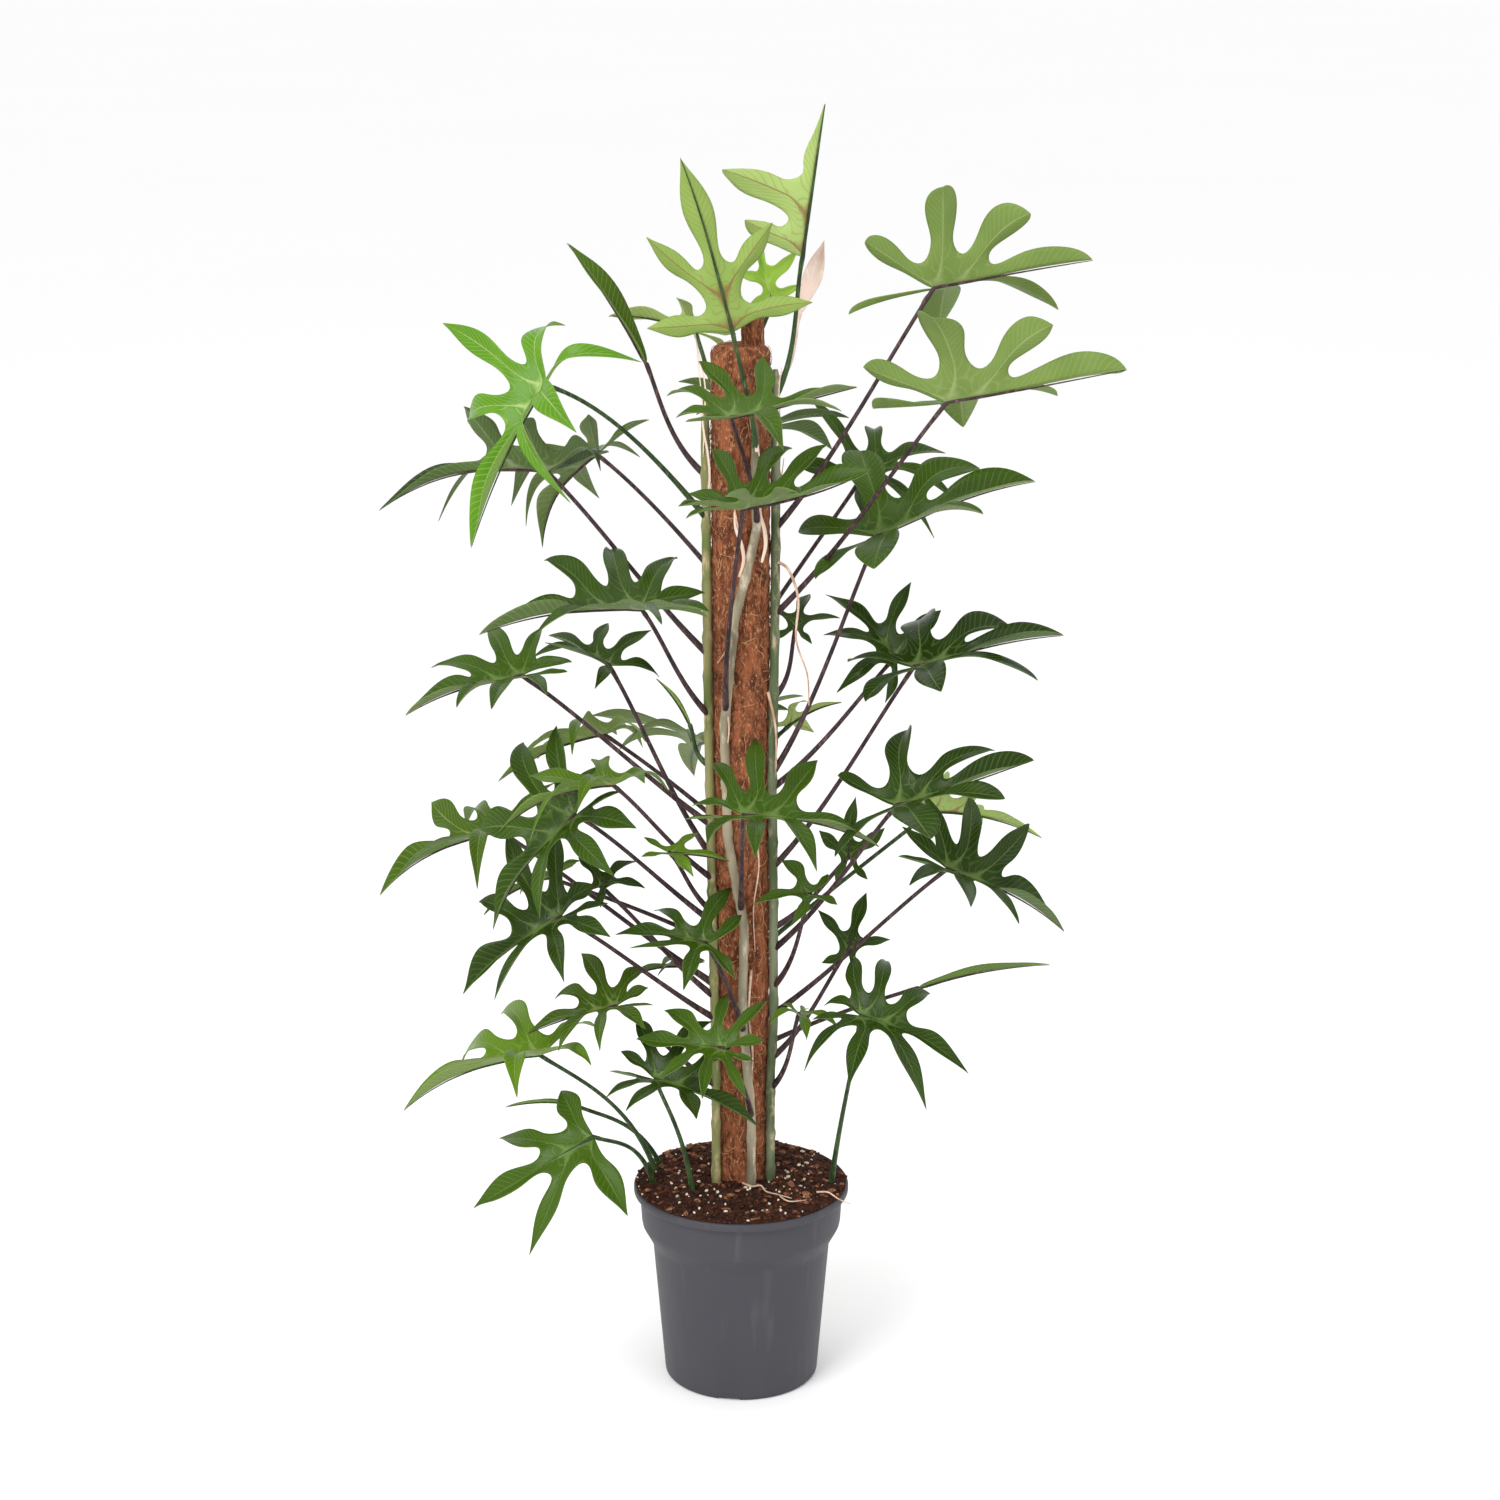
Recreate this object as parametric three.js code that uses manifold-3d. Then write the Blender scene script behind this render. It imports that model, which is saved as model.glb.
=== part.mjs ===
// Potted philodendron: a lobed-leaf climber on a coir pole in a round nursery pot.
// Millimetres, +Z up. The origin is the centre of the pot's base, on the ground;
// -Y is the side that the plant shows to the viewer.
import * as THREE from 'three';
import { mergeGeometries, mergeVertices } from 'three/addons/utils/BufferGeometryUtils.js';
import Module from 'manifold-3d';

const wasm = await Module();
wasm.setup();

// ---- Driving dimensions -------------------------------------------------------------

// Nursery pot: a thin moulded shell with a rolled lip and a collar
const POT_HEIGHT = 227;
const COLLAR_RADIUS = 113.5;
const LIP_OVERHANG = 6.5;
const LIP_DEPTH = 9;
const COLLAR_HEIGHT = 38;
const COLLAR_TAPER = 2.5;
const SHOULDER_HEIGHT = 20;
const SHOULDER_STEP = 12;
const BASE_RADIUS = 86;
const BASE_CORNER = 4;
const POT_WALL = 2;
const POT_SIDES = 32;

// Underside: a flat centre disc and an outer foot, with a raised drain channel between
const CENTRE_DISC_RADIUS = 30;
const FOOT_WIDTH = 9;
const CHANNEL_HEIGHT = 4;
const FLOOR_THICKNESS = 2.5;
const DRAIN_HOLES = 6;
const DRAIN_HOLE_RADIUS = 6;
const DRAIN_HOLE_SIDES = 8;
const NOTCH_WIDTH = 22;
const NOTCHES = 3;
const FIRST_NOTCH_ANGLE = -100;

// Potting soil, heaped a little over the lip
const SOIL_CENTRE_RISE = 12;
const SOIL_SHOULDER_RISE = 9;
const SOIL_EDGE_RISE = 3;
const SOIL_EDGE_WIDTH = 19;

// Climbing pole: a coir sleeve on a core that stands out at the top
const POLE_RADIUS = 31;
const POLE_HEIGHT_ABOVE_POT = 941;
const USUAL_POLE_HEIGHT = 941;
const POLE_BOTTOM = 20;
const POLE_SIDES = 24;
const POLE_TOP_CHAMFER = 7;
const CORE_RADIUS = 12.5;
const CORE_OFFSET = 13;
const CORE_STAND_OUT = 40;
const CORE_SIDES = 16;
const CORE_TOP_ROUND = 8;

// Climbing stems on the pole, and the leaves' stalks and blades
const STEM_RADIUS = 5.5;
const STEM_SIDES = 8;
const STEM_TO_POLE = 0.6;
const STEM_DEPTH = 45;
const STALK_RADIUS = 2.2;
const STALK_SIDES = 4;
const STALK_STEPS = 5;
const STALK_DEPTH = 35;
const STALK_PUSH = 16;
const SOIL_STALK_PUSH = 48;
const STALK_BENDS = [0.3, 0.72];
const BLADE_THICKNESS = 1.3;

// Gap left wherever two pieces meet
const CLEARANCE = 0.3;

const soilTop = POT_HEIGHT + SOIL_CENTRE_RISE;
const poleTop = POT_HEIGHT + POLE_HEIGHT_ABOVE_POT;

// The plant is drawn on a pole of the usual height, and spreads along a longer or shorter one
const stretch = POLE_HEIGHT_ABOVE_POT / USUAL_POLE_HEIGHT;
const soilRadius = COLLAR_RADIUS - POT_WALL - CLEARANCE;

// ---- Colours and finishes -----------------------------------------------------------

function finish(color, roughness) {
  return new THREE.MeshStandardMaterial({ color, roughness, metalness: 0 });
}

const POT_PLASTIC = finish('#4b4b50', 0.5);
const SOIL = finish('#3a2318', 1);
const COIR = finish('#8a5236', 0.95);
const STEM_SKIN = finish('#7f8672', 0.7);
const DRY_SHEATH = finish('#d9b08c', 0.85);
const LEAF_YOUNG = finish('#8fb84a', 0.5);
const LEAF_MID = finish('#3f7a2c', 0.45);
const LEAF_DARK = finish('#245226', 0.4);

// ---- Solids: helpers ----------------------------------------------------------------

// A closed geometry as a solid that can be joined and cut.
function solid(geometry) {
  const bare = geometry.clone();
  bare.deleteAttribute('normal');
  bare.deleteAttribute('uv');
  const merged = mergeVertices(bare, 1e-4);
  const mesh = new wasm.Mesh({
    numProp: 3,
    vertProperties: new Float32Array(merged.attributes.position.array),
    triVerts: new Uint32Array(merged.index.array),
  });
  return new wasm.Manifold(mesh);
}

function geometryOf(body) {
  const mesh = body.getMesh();
  const geometry = new THREE.BufferGeometry();
  geometry.setAttribute('position', new THREE.BufferAttribute(mesh.vertProperties, 3));
  geometry.setIndex(new THREE.BufferAttribute(mesh.triVerts, 1));
  geometry.computeVertexNormals();
  return geometry;
}

const plant = new THREE.Group();

function addNode(name, geometry, material) {
  const mesh = new THREE.Mesh(geometry, material);
  mesh.name = name;
  plant.add(mesh);
}

// A closed round tube along a curve.
function tube(curve, radius, sides, steps) {
  const section = new THREE.Shape();
  for (let i = 0; i < sides; i += 1) {
    const angle = (i / sides) * 2 * Math.PI;
    const x = radius * Math.cos(angle);
    const y = radius * Math.sin(angle);
    if (i === 0) section.moveTo(x, y);
    else section.lineTo(x, y);
  }
  section.closePath();
  return new THREE.ExtrudeGeometry(section, {
    steps, extrudePath: curve, curveSegments: 1, bevelEnabled: false,
  });
}

// A body of revolution about Z from [radius, height] points.
function turned(profile, sides) {
  const points = profile.map(([radius, height]) => new THREE.Vector2(radius, height));
  const geometry = new THREE.LatheGeometry(points, sides);
  geometry.rotateX(Math.PI / 2);
  return geometry;
}

function uprightCylinder(radius, height, sides, x, y, bottom) {
  const geometry = new THREE.CylinderGeometry(radius, radius, height, sides);
  geometry.rotateX(Math.PI / 2);
  geometry.translate(x, y, bottom + height / 2);
  return geometry;
}

// Direction from an azimuth (0 = +X, 90 = +Y) and an elevation, in degrees.
function direction(azimuth, elevation) {
  const a = THREE.MathUtils.degToRad(azimuth);
  const e = THREE.MathUtils.degToRad(elevation);
  return new THREE.Vector3(Math.cos(e) * Math.cos(a), Math.cos(e) * Math.sin(a), Math.sin(e));
}

// ---- Nursery pot --------------------------------------------------------------------

const collarBottom = POT_HEIGHT - LIP_DEPTH - COLLAR_HEIGHT;
const shoulderBottom = collarBottom - SHOULDER_HEIGHT;
const collarFoot = COLLAR_RADIUS - COLLAR_TAPER;
const shoulderFoot = collarFoot - SHOULDER_STEP;
const floorTop = CHANNEL_HEIGHT + FLOOR_THICKNESS;
const lipRadius = COLLAR_RADIUS + LIP_OVERHANG;

// Radius of the pot's inner wall at a height above the floor
const wallInside = [
  [BASE_RADIUS - POT_WALL, floorTop],
  [shoulderFoot - POT_WALL, shoulderBottom],
  [collarFoot - POT_WALL, collarBottom],
  [COLLAR_RADIUS - POT_WALL, POT_HEIGHT],
];

function potShell() {
  const channelInner = CENTRE_DISC_RADIUS + CHANNEL_HEIGHT;
  const footInner = BASE_RADIUS - BASE_CORNER - FOOT_WIDTH;
  const profile = [
    [0, 0], [CENTRE_DISC_RADIUS, 0], [channelInner, CHANNEL_HEIGHT],
    [footInner - CHANNEL_HEIGHT, CHANNEL_HEIGHT], [footInner, 0],
    [BASE_RADIUS - BASE_CORNER, 0], [BASE_RADIUS, BASE_CORNER],
    [shoulderFoot, shoulderBottom], [collarFoot, collarBottom],
    [COLLAR_RADIUS, POT_HEIGHT - LIP_DEPTH], [lipRadius, POT_HEIGHT - LIP_DEPTH],
    [lipRadius, POT_HEIGHT - POT_WALL / 2], [lipRadius - POT_WALL / 2, POT_HEIGHT],
    ...[...wallInside].reverse(), [0, floorTop],
  ];
  let shell = solid(turned(profile, POT_SIDES));
  const channelMiddle = (channelInner + footInner - CHANNEL_HEIGHT) / 2;
  for (let i = 0; i < DRAIN_HOLES; i += 1) {
    const angle = ((i + 0.5) / DRAIN_HOLES) * 2 * Math.PI;
    const x = channelMiddle * Math.cos(angle);
    const y = channelMiddle * Math.sin(angle);
    const drill = uprightCylinder(DRAIN_HOLE_RADIUS, floorTop * 3, DRAIN_HOLE_SIDES, x, y, -floorTop);
    shell = shell.subtract(solid(drill));
  }
  for (let i = 0; i < NOTCHES; i += 1) {
    const reach = BASE_RADIUS * 2;
    const notch = new THREE.BoxGeometry(reach, NOTCH_WIDTH, CHANNEL_HEIGHT * 2);
    notch.translate(reach / 2 + channelMiddle, 0, 0);
    notch.rotateZ(THREE.MathUtils.degToRad(FIRST_NOTCH_ANGLE + (i * 360) / NOTCHES));
    shell = shell.subtract(solid(notch));
  }
  return shell;
}

addNode('nursery_pot', geometryOf(potShell()), POT_PLASTIC);

// ---- Climbing pole ------------------------------------------------------------------

function poleCore() {
  const radius = CORE_RADIUS;
  const bottom = POLE_BOTTOM;
  const top = poleTop + CORE_STAND_OUT;
  const core = turned([
    [0, bottom], [radius, bottom], [radius, top - CORE_TOP_ROUND],
    [radius - CORE_TOP_ROUND / 2, top - CORE_TOP_ROUND / 4], [0, top],
  ], CORE_SIDES);
  core.translate(CORE_OFFSET, 0, 0);
  return solid(core);
}

function poleSleeve(grow) {
  const bottom = POLE_BOTTOM - grow;
  return solid(turned([
    [0, bottom], [POLE_RADIUS + grow, bottom], [POLE_RADIUS + grow, poleTop - POLE_TOP_CHAMFER],
    [POLE_RADIUS - POLE_TOP_CHAMFER, poleTop], [0, poleTop],
  ], POLE_SIDES));
}

const coreHole = solid(uprightCylinder(
  CORE_RADIUS + CLEARANCE, poleTop, CORE_SIDES, CORE_OFFSET, 0, POLE_BOTTOM / 2,
));
addNode('pole_core', geometryOf(poleCore()), COIR);
addNode('coir_sleeve', geometryOf(poleSleeve(0).subtract(coreHole)), COIR);

// ---- Climbing stems -----------------------------------------------------------------

// Each stem winds up the pole through [height from the pole's top, angle] stations; 0
// degrees is +X. It starts in the soil at the first station's angle, and stations that
// would lie in the soil are left out.
const STEMS = {
  left: [[-800, -138], [-740, -140], [-548, -150], [-368, -160], [-168, -168], [-58, -176]],
  front: [[-850, -72], [-728, -88], [-628, -84], [-528, -112], [-408, -118], [-288, -100],
    [-188, -62], [-78, -66]],
  right: [[-800, -28], [-748, -14], [-608, -16], [-468, -24], [-308, -12], [-168, 0], [-28, 8]],
  back: [[-800, 70], [-668, 95], [-368, 110], [-168, 120], [-48, 112]],
};
const STEM_STATION = 55;

function stemStations(name) {
  const above = STEMS[name].map(([height, angle]) => [poleTop + height * stretch, angle])
    .filter(([height]) => height > soilTop + STEM_STATION);
  return [[soilTop - STEM_DEPTH, STEMS[name][0][1]], ...above];
}

function stemPoint(stations, height) {
  const last = stations.length - 1;
  let i = 1;
  while (i < last && height > stations[i][0]) i += 1;
  const [lowHeight, lowAngle] = stations[i - 1];
  const [highHeight, highAngle] = stations[i];
  const share = (height - lowHeight) / (highHeight - lowHeight);
  const out = direction(lowAngle + (highAngle - lowAngle) * share, 0);
  return out.multiplyScalar(POLE_RADIUS + STEM_TO_POLE + STEM_RADIUS).setZ(height);
}

function stemSolid(stations, grow) {
  const bottom = stations[0][0] - grow;
  const top = stations[stations.length - 1][0] + grow;
  const count = Math.round((top - bottom) / STEM_STATION);
  const points = [];
  for (let i = 0; i <= count; i += 1) {
    points.push(stemPoint(stations, bottom + ((top - bottom) * i) / count));
  }
  const curve = new THREE.CatmullRomCurve3(points);
  return solid(tube(curve, STEM_RADIUS + grow, STEM_SIDES, count));
}

const stemCuts = {};
for (const name of Object.keys(STEMS)) {
  const stations = stemStations(name);
  addNode(`climbing_stem_${name}`, geometryOf(stemSolid(stations, 0)), STEM_SKIN);
  stemCuts[name] = stemSolid(stations, CLEARANCE);
}

// ---- Leaves -------------------------------------------------------------------------

// Half blades, from the stalk round the lobes to the tip and back along the midrib, as
// [forward, sideways] shares of the length from the stalk to the tip.
const DIVIDED_HALF = [
  [0, 0],
  [-0.16, 0.08], [-0.36, 0.42], [-0.12, 0.28],
  [0.0, 0.18],
  [0.05, 0.50], [0.20, 0.80], [0.29, 0.46],
  [0.24, 0.15],
  [0.46, 0.36], [0.72, 0.50], [0.54, 0.20],
  [0.41, 0.06],
  [0.56, 0.12], [0.78, 0.13], [1, 0],
  [0.40, 0],
];
const FAN_HALF = [
  [0, 0],
  [-0.20, 0.06], [-0.44, 0.16],
  [-0.20, 0.22],
  [-0.26, 0.44], [-0.30, 0.64], [-0.10, 0.42],
  [0.02, 0.25],
  [0.06, 0.50], [0.15, 0.76], [0.25, 0.45],
  [0.20, 0.14],
  [0.40, 0.34], [0.64, 0.52], [0.51, 0.24],
  [0.38, 0.06],
  [0.54, 0.12], [0.76, 0.16], [1, 0],
  [0.40, 0],
];

// Blade forms. The blade rises from the midrib by fold and rolls over by sag; its tip
// hangs by droop, and its lobes behind the stalk rise by perk.
const FORMS = {
  flat: { fold: 0.5, sag: 0.3, droop: 0.26, perk: 0.15, half: DIVIDED_HALF },
  cupped: { fold: 0.68, sag: 0.24, droop: -0.1, perk: 0.6, half: DIVIDED_HALF },
  fan: { fold: 0.5, sag: 0.3, droop: 0.26, perk: 0.15, half: FAN_HALF },
  hanging: {
    fold: 0.12, sag: 0.62, droop: 0.35, perk: -0.6,
    half: [
      [0, 0],
      [-0.08, 0.10], [-0.04, 0.62], [0.10, 0.36],
      [0.14, 0.16],
      [0.42, 0.36], [0.74, 0.52], [0.58, 0.22],
      [0.46, 0.07],
      [0.60, 0.13], [0.82, 0.13], [1, 0],
      [0.50, 0],
    ],
  },
  young: {
    fold: 0.25, sag: 0.2, droop: 0.1, perk: 0,
    half: [
      [0, 0],
      [-0.12, 0.06], [-0.20, 0.26], [-0.10, 0.46], [0.02, 0.26],
      [0.16, 0.08],
      [0.30, 0.20], [0.56, 0.42], [0.46, 0.20],
      [0.44, 0.05],
      [0.56, 0.10], [0.74, 0.17], [0.90, 0.11], [1, 0],
      [0.70, 0], [0.40, 0],
    ],
  },
  unfolding: {
    fold: 0.95, sag: 0.1, droop: 0.05, perk: 0,
    half: [
      [0, 0],
      [0.02, 0.10], [0.10, 0.38], [0.20, 0.16],
      [0.26, 0.07],
      [0.38, 0.20], [0.56, 0.50], [0.56, 0.20],
      [0.56, 0.06],
      [0.70, 0.12], [1, 0],
      [0.50, 0],
    ],
  },
  small: {
    fold: 0.4, sag: 0.35, droop: 0.25, perk: 0.3,
    half: [
      [0, 0],
      [-0.20, 0.10], [-0.44, 0.26], [-0.18, 0.28],
      [0.02, 0.14],
      [0.16, 0.40], [0.38, 0.62], [0.36, 0.32],
      [0.32, 0.08],
      [0.60, 0.15], [1, 0],
      [0.50, 0],
    ],
  },
  spear: {
    fold: 0.3, sag: 0.1, droop: 0.2, perk: 0,
    half: [[0, 0], [0.04, 0.06], [0.45, 0.12], [0.8, 0.09], [1, 0], [0.5, 0]],
  },
};

// One row for each leaf: the stem that carries it and the height where its stalk leaves it,
// or 'soil' with the angle and the distance in from the soil's edge where the stalk stands;
// the hub where stalk and blade meet; the midrib's direction and the way the upper face
// looks, both azimuth and elevation; the blade's length from hub to tip; its form; the
// stalk's arch; and its age from 0, young and pale, to 2, old and dark. Heights are from the
// pole's top, or from the soil's, and a hub's X and Y are measured out from the pole's face.
const LEAVES = [
  // young leaves at the top
  ['front', -106, [-2, -10, 18], [180, 75], [100, 15], 185, 'young', 0, 0],
  ['right', -56, [33, 5, 89], [0, 84], [140, 5], 156, 'unfolding', 0, 0],
  ['back', -93, [18, 30, 34], [165, 74], [-80, 10], 78, 'unfolding', 0, 0],
  ['left', -138, [-68, 21, -26], [180, 64], [0, 26], 148, 'spear', -6, 1],
  ['back', -83, [-36, 82, -3], [180, 24], [90, 60], 92, 'small', 0, 0],
  // upper front
  ['front', -183, [-7, -104, -54], [22, 8], [-90, 76], 134, 'cupped', 4, 2],
  ['front', -388, [2, -111, -146], [-14, 14], [-90, 86], 138, 'cupped', 8, 2],
  // left side, from the top down
  ['left', -183, [-171, -86, -27], [200, -52], [-140, 38], 178, 'flat', 26, 0],
  ['left', -330, [-175, 24, -139], [176, 8], [95, 78], 172, 'flat', 6, 2],
  ['back', -268, [-138, 143, -146], [150, -32], [160, 55], 130, 'flat', 10, 2],
  ['left', -396, [-80, -80, -259], [190, 6], [-90, 84], 166, 'flat', 4, 2],
  ['left', -518, [-201, -33, -346], [184, -6], [-110, 74], 128, 'cupped', 6, 2],
  ['left', -553, [-113, 32, -354], [142, 24], [-80, 66], 100, 'flat', 4, 2],
  ['left', -578, [-110, -94, -444], [182, -2], [-95, 87], 122, 'flat', 4, 1],
  ['back', -548, [-125, 76, -446], [178, -8], [95, 76], 122, 'flat', 4, 1],
  ['left', -628, [-147, -60, -490], [196, -36], [-125, 50], 145, 'flat', 8, 2],
  ['left', -698, [-237, 53, -548], [182, -10], [-100, 72], 148, 'flat', 6, 1],
  ['back', -688, [-184, 52, -602], [180, -14], [95, 76], 80, 'small', 4, 1],
  ['left', -738, [-164, -51, -608], [190, -24], [-105, 58], 132, 'flat', 6, 2],
  ['left', -713, [-121, -13, -588], [60, 24], [-90, 60], 66, 'small', 4, 2],
  ['left', -616, [-54, -56, -530], [-8, 4], [-90, 70], 62, 'small', 4, 1],
  ['left', -452, [-25, 9, -416], [180, 66], [0, 24], 64, 'spear', 0, 0],
  // front, below the middle
  ['front', -608, [2, -101, -472], [-6, 4], [-95, 72], 140, 'flat', 6, 2],
  ['front', -748, [-25, -60, -628], [172, 14], [-95, 50], 98, 'flat', 6, 2],
  ['front', -848, [-13, -73, -742], [172, 8], [-90, 52], 98, 'flat', 6, 2],
  // lower left
  ['left', -816, [-107, -36, -715], [180, -6], [-90, 78], 100, 'flat', 6, 1],
  ['back', -768, [-40, 38, -706], [178, 4], [92, 72], 62, 'small', 4, 2],
  ['soil', [167, 21], [-191, -24, 151], [180, -6], [-110, 72], 160, 'flat', 16, 1],
  ['soil', [185, 19], [-133, -84, 84], [194, -22], [-105, 52], 150, 'hanging', 12, 2],
  ['soil', [154, 20], [-159, 20, 73], [178, 8], [90, 80], 72, 'spear', 10, 1],
  ['soil', [220, 46], [-70, -67, 146], [-16, -6], [-95, 66], 116, 'flat', 4, 2],
  // right side, from the top down
  ['right', -196, [170, 6, 58], [4, 12], [90, 52], 166, 'flat', 0, 1],
  ['right', -288, [183, -34, -54], [0, 12], [90, 56], 186, 'flat', 0, 1],
  ['back', -368, [112, 127, -170], [34, 26], [-88, 70], 118, 'flat', 0, 2],
  ['right', -462, [116, 29, -211], [0, 26], [-90, 68], 176, 'flat', 0, 2],
  ['right', -378, [36, 30, -314], [78, 34], [-90, 50], 66, 'small', 0, 2],
  ['right', -478, [138, 38, -347], [150, 48], [-90, 42], 104, 'flat', 0, 2],
  ['right', -568, [153, -29, -337], [0, 18], [-90, 74], 160, 'cupped', 0, 2],
  ['back', -488, [31, 33, -426], [20, 34], [90, 50], 60, 'small', 0, 0],
  ['right', -663, [138, -98, -466], [0, 20], [-92, 70], 150, 'cupped', 0, 2],
  ['back', -698, [182, 78, -535], [0, 4], [92, 70], 122, 'flat', 0, 0],
  ['right', -738, [192, -43, -557], [-4, -16], [-92, 68], 140, 'flat', 4, 2],
  ['right', -638, [87, 9, -564], [90, 72], [-90, 14], 66, 'small', 0, 2],
  ['right', -706, [54, -61, -574], [208, 12], [-90, 56], 66, 'small', 0, 2],
  ['right', -788, [88, 16, -674], [62, 56], [-90, 30], 72, 'small', 0, 2],
  ['back', -798, [168, 51, -732], [8, 18], [92, 70], 146, 'spear', 4, 1],
  ['right', -823, [38, -26, -724], [-80, 10], [0, 86], 58, 'small', 0, 1],
  ['soil', [-4, 13], [103, -71, 219], [-18, -6], [-95, 58], 122, 'fan', -6, 2],
  // back
  ['back', -238, [16, 139, -118], [84, -12], [60, 74], 140, 'flat', 8, 2],
  ['back', -608, [-33, 146, -478], [104, -14], [120, 74], 150, 'flat', 8, 2],
];
const LEAF_FINISHES = [LEAF_YOUNG, LEAF_MID, LEAF_DARK];

// Both halves of a blade as one closed sheet, in the leaf's own axes: X to the tip, Y to
// the left, Z out of the upper face. The halves meet on the midrib, where their walls go.
function bladeGeometry(form, size) {
  const halves = [1, -1].map((side) => {
    const outline = new THREE.Shape(form.half.map(([u, w]) => new THREE.Vector2(u, w * side)));
    const sheet = new THREE.ExtrudeGeometry(outline, {
      depth: BLADE_THICKNESS / size, steps: 1, bevelEnabled: false,
    });
    sheet.deleteAttribute('normal');
    sheet.deleteAttribute('uv');
    const flat = sheet.index ? sheet.toNonIndexed() : sheet;
    const from = flat.attributes.position.array;
    const kept = [];
    for (let t = 0; t < from.length; t += 9) {
      const onMidrib = [1, 4, 7].every((k) => Math.abs(from[t + k]) < 1e-6);
      if (!onMidrib) kept.push(...from.slice(t, t + 9));
    }
    const half = new THREE.BufferGeometry();
    half.setAttribute('position', new THREE.Float32BufferAttribute(kept, 3));
    return half;
  });
  const blade = mergeGeometries(halves);
  const at = blade.attributes.position;
  for (let i = 0; i < at.count; i += 1) {
    const forward = at.getX(i);
    const sideways = Math.abs(at.getY(i));
    const bend = (forward > 0 ? -form.droop : form.perk) * forward * forward;
    const lift = form.fold * sideways - form.sag * sideways * sideways + bend;
    at.setXYZ(i, forward * size, at.getY(i) * size, (at.getZ(i) + lift) * size - BLADE_THICKNESS / 2);
  }
  return blade;
}

function leafFrame(hub, tip, face) {
  const along = direction(...tip);
  const up = direction(...face);
  up.addScaledVector(along, -up.dot(along)).normalize();
  const left = new THREE.Vector3().crossVectors(up, along);
  return new THREE.Matrix4().makeBasis(along, left, up).setPosition(hub);
}

function hubPoint(carrier, [x, y, height]) {
  const level = (carrier === 'soil' ? soilTop : poleTop) + height * stretch;
  const out = new THREE.Vector3(x, y, 0);
  return out.setLength(out.length() + POLE_RADIUS).setZ(level);
}

function stalkCurve(carrier, place, hub, along, arch) {
  let root;
  let push;
  if (carrier === 'soil') {
    const [angle, inset] = place;
    root = direction(angle, 0).multiplyScalar(soilRadius - inset).setZ(soilTop - STALK_DEPTH);
    push = new THREE.Vector3(0, 0, SOIL_STALK_PUSH);
  } else {
    root = stemPoint(stemStations(carrier), poleTop + place * stretch);
    push = new THREE.Vector3(root.x, root.y, 0).setLength(STALK_PUSH);
  }
  const reach = new THREE.Vector3().subVectors(hub, root);
  const lift = new THREE.Vector3(0, 0, 1).addScaledVector(reach, -reach.z / reach.lengthSq());
  lift.setLength(arch);
  const [lowShare, highShare] = STALK_BENDS;
  const low = root.clone().addScaledVector(reach, lowShare).add(push).add(lift);
  const high = root.clone().addScaledVector(reach, highShare).add(lift);
  const end = hub.clone().addScaledVector(along, STALK_RADIUS * 2);
  return new THREE.CubicBezierCurve3(root, low, high, end);
}

const soilHoles = [];

function addLeaf(name, row, material) {
  const [carrier, place, hubPlace, tip, face, fullSize, formName, arch] = row;
  const size = fullSize * Math.min(1, stretch);
  const hub = hubPoint(carrier, hubPlace);
  const blade = bladeGeometry(FORMS[formName], size).applyMatrix4(leafFrame(hub, tip, face));
  const curve = stalkCurve(carrier, place, hub, direction(...tip), arch);
  let stalk = solid(tube(curve, STALK_RADIUS, STALK_SIDES, STALK_STEPS));
  if (carrier === 'soil') {
    soilHoles.push(solid(tube(curve, STALK_RADIUS + CLEARANCE, STALK_SIDES, STALK_STEPS)));
  } else {
    stalk = stalk.subtract(stemCuts[carrier]);
  }
  addNode(name, geometryOf(stalk.add(solid(blade))), material);
}

LEAVES.forEach((row, i) => {
  addLeaf(`leaf_${String(i + 1).padStart(2, '0')}`, row, LEAF_FINISHES[row[8]]);
});

// A papery dry sheath stands beside the tallest leaf, on the same stem.
const SHEATH = ['right', -44, [36, 22, 26], [16, 70], [-90, 10], 80, 'spear', 0];
addLeaf('dried_sheath', SHEATH, DRY_SHEATH);

// An aerial root that leaves the right stem and hangs down beside the pole, as offsets
// from its start on the stem and heights from the pole's top
const ROOT_RADIUS = 2.4;
const ROOT_SIDES = 6;
const ROOT_STEPS = 12;
const ROOT = [[0, 0, -230], [14, -12, -238], [24, -20, -268], [22, -18, -312], [34, -18, -350],
  [36, -14, -385]];

function aerialRoot() {
  const start = stemPoint(stemStations('right'), poleTop + ROOT[0][2] * stretch);
  const points = ROOT.map(([x, y, height]) => (
    new THREE.Vector3(start.x + x, start.y + y, poleTop + height * stretch)
  ));
  const curve = new THREE.CatmullRomCurve3(points);
  return solid(tube(curve, ROOT_RADIUS, ROOT_SIDES, ROOT_STEPS)).subtract(stemCuts.right);
}

addNode('aerial_root', geometryOf(aerialRoot()), DRY_SHEATH);

// ---- Potting soil -------------------------------------------------------------------

function soilBody() {
  const profile = [
    [0, floorTop + CLEARANCE],
    ...wallInside.map(([radius, height]) => (
      [radius - CLEARANCE, Math.max(height, floorTop + CLEARANCE)]
    )),
    [soilRadius, POT_HEIGHT + SOIL_EDGE_RISE],
    [soilRadius - SOIL_EDGE_WIDTH, POT_HEIGHT + SOIL_SHOULDER_RISE], [0, soilTop],
  ];
  return solid(turned(profile, POT_SIDES));
}

let soil = soilBody().subtract(poleSleeve(CLEARANCE));
for (const cut of [...Object.values(stemCuts), ...soilHoles]) soil = soil.subtract(cut);
addNode('potting_soil', geometryOf(soil), SOIL);

export default plant;
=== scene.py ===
import math
import random

import bmesh
import bpy
from mathutils import Matrix, Vector, noise


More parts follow.
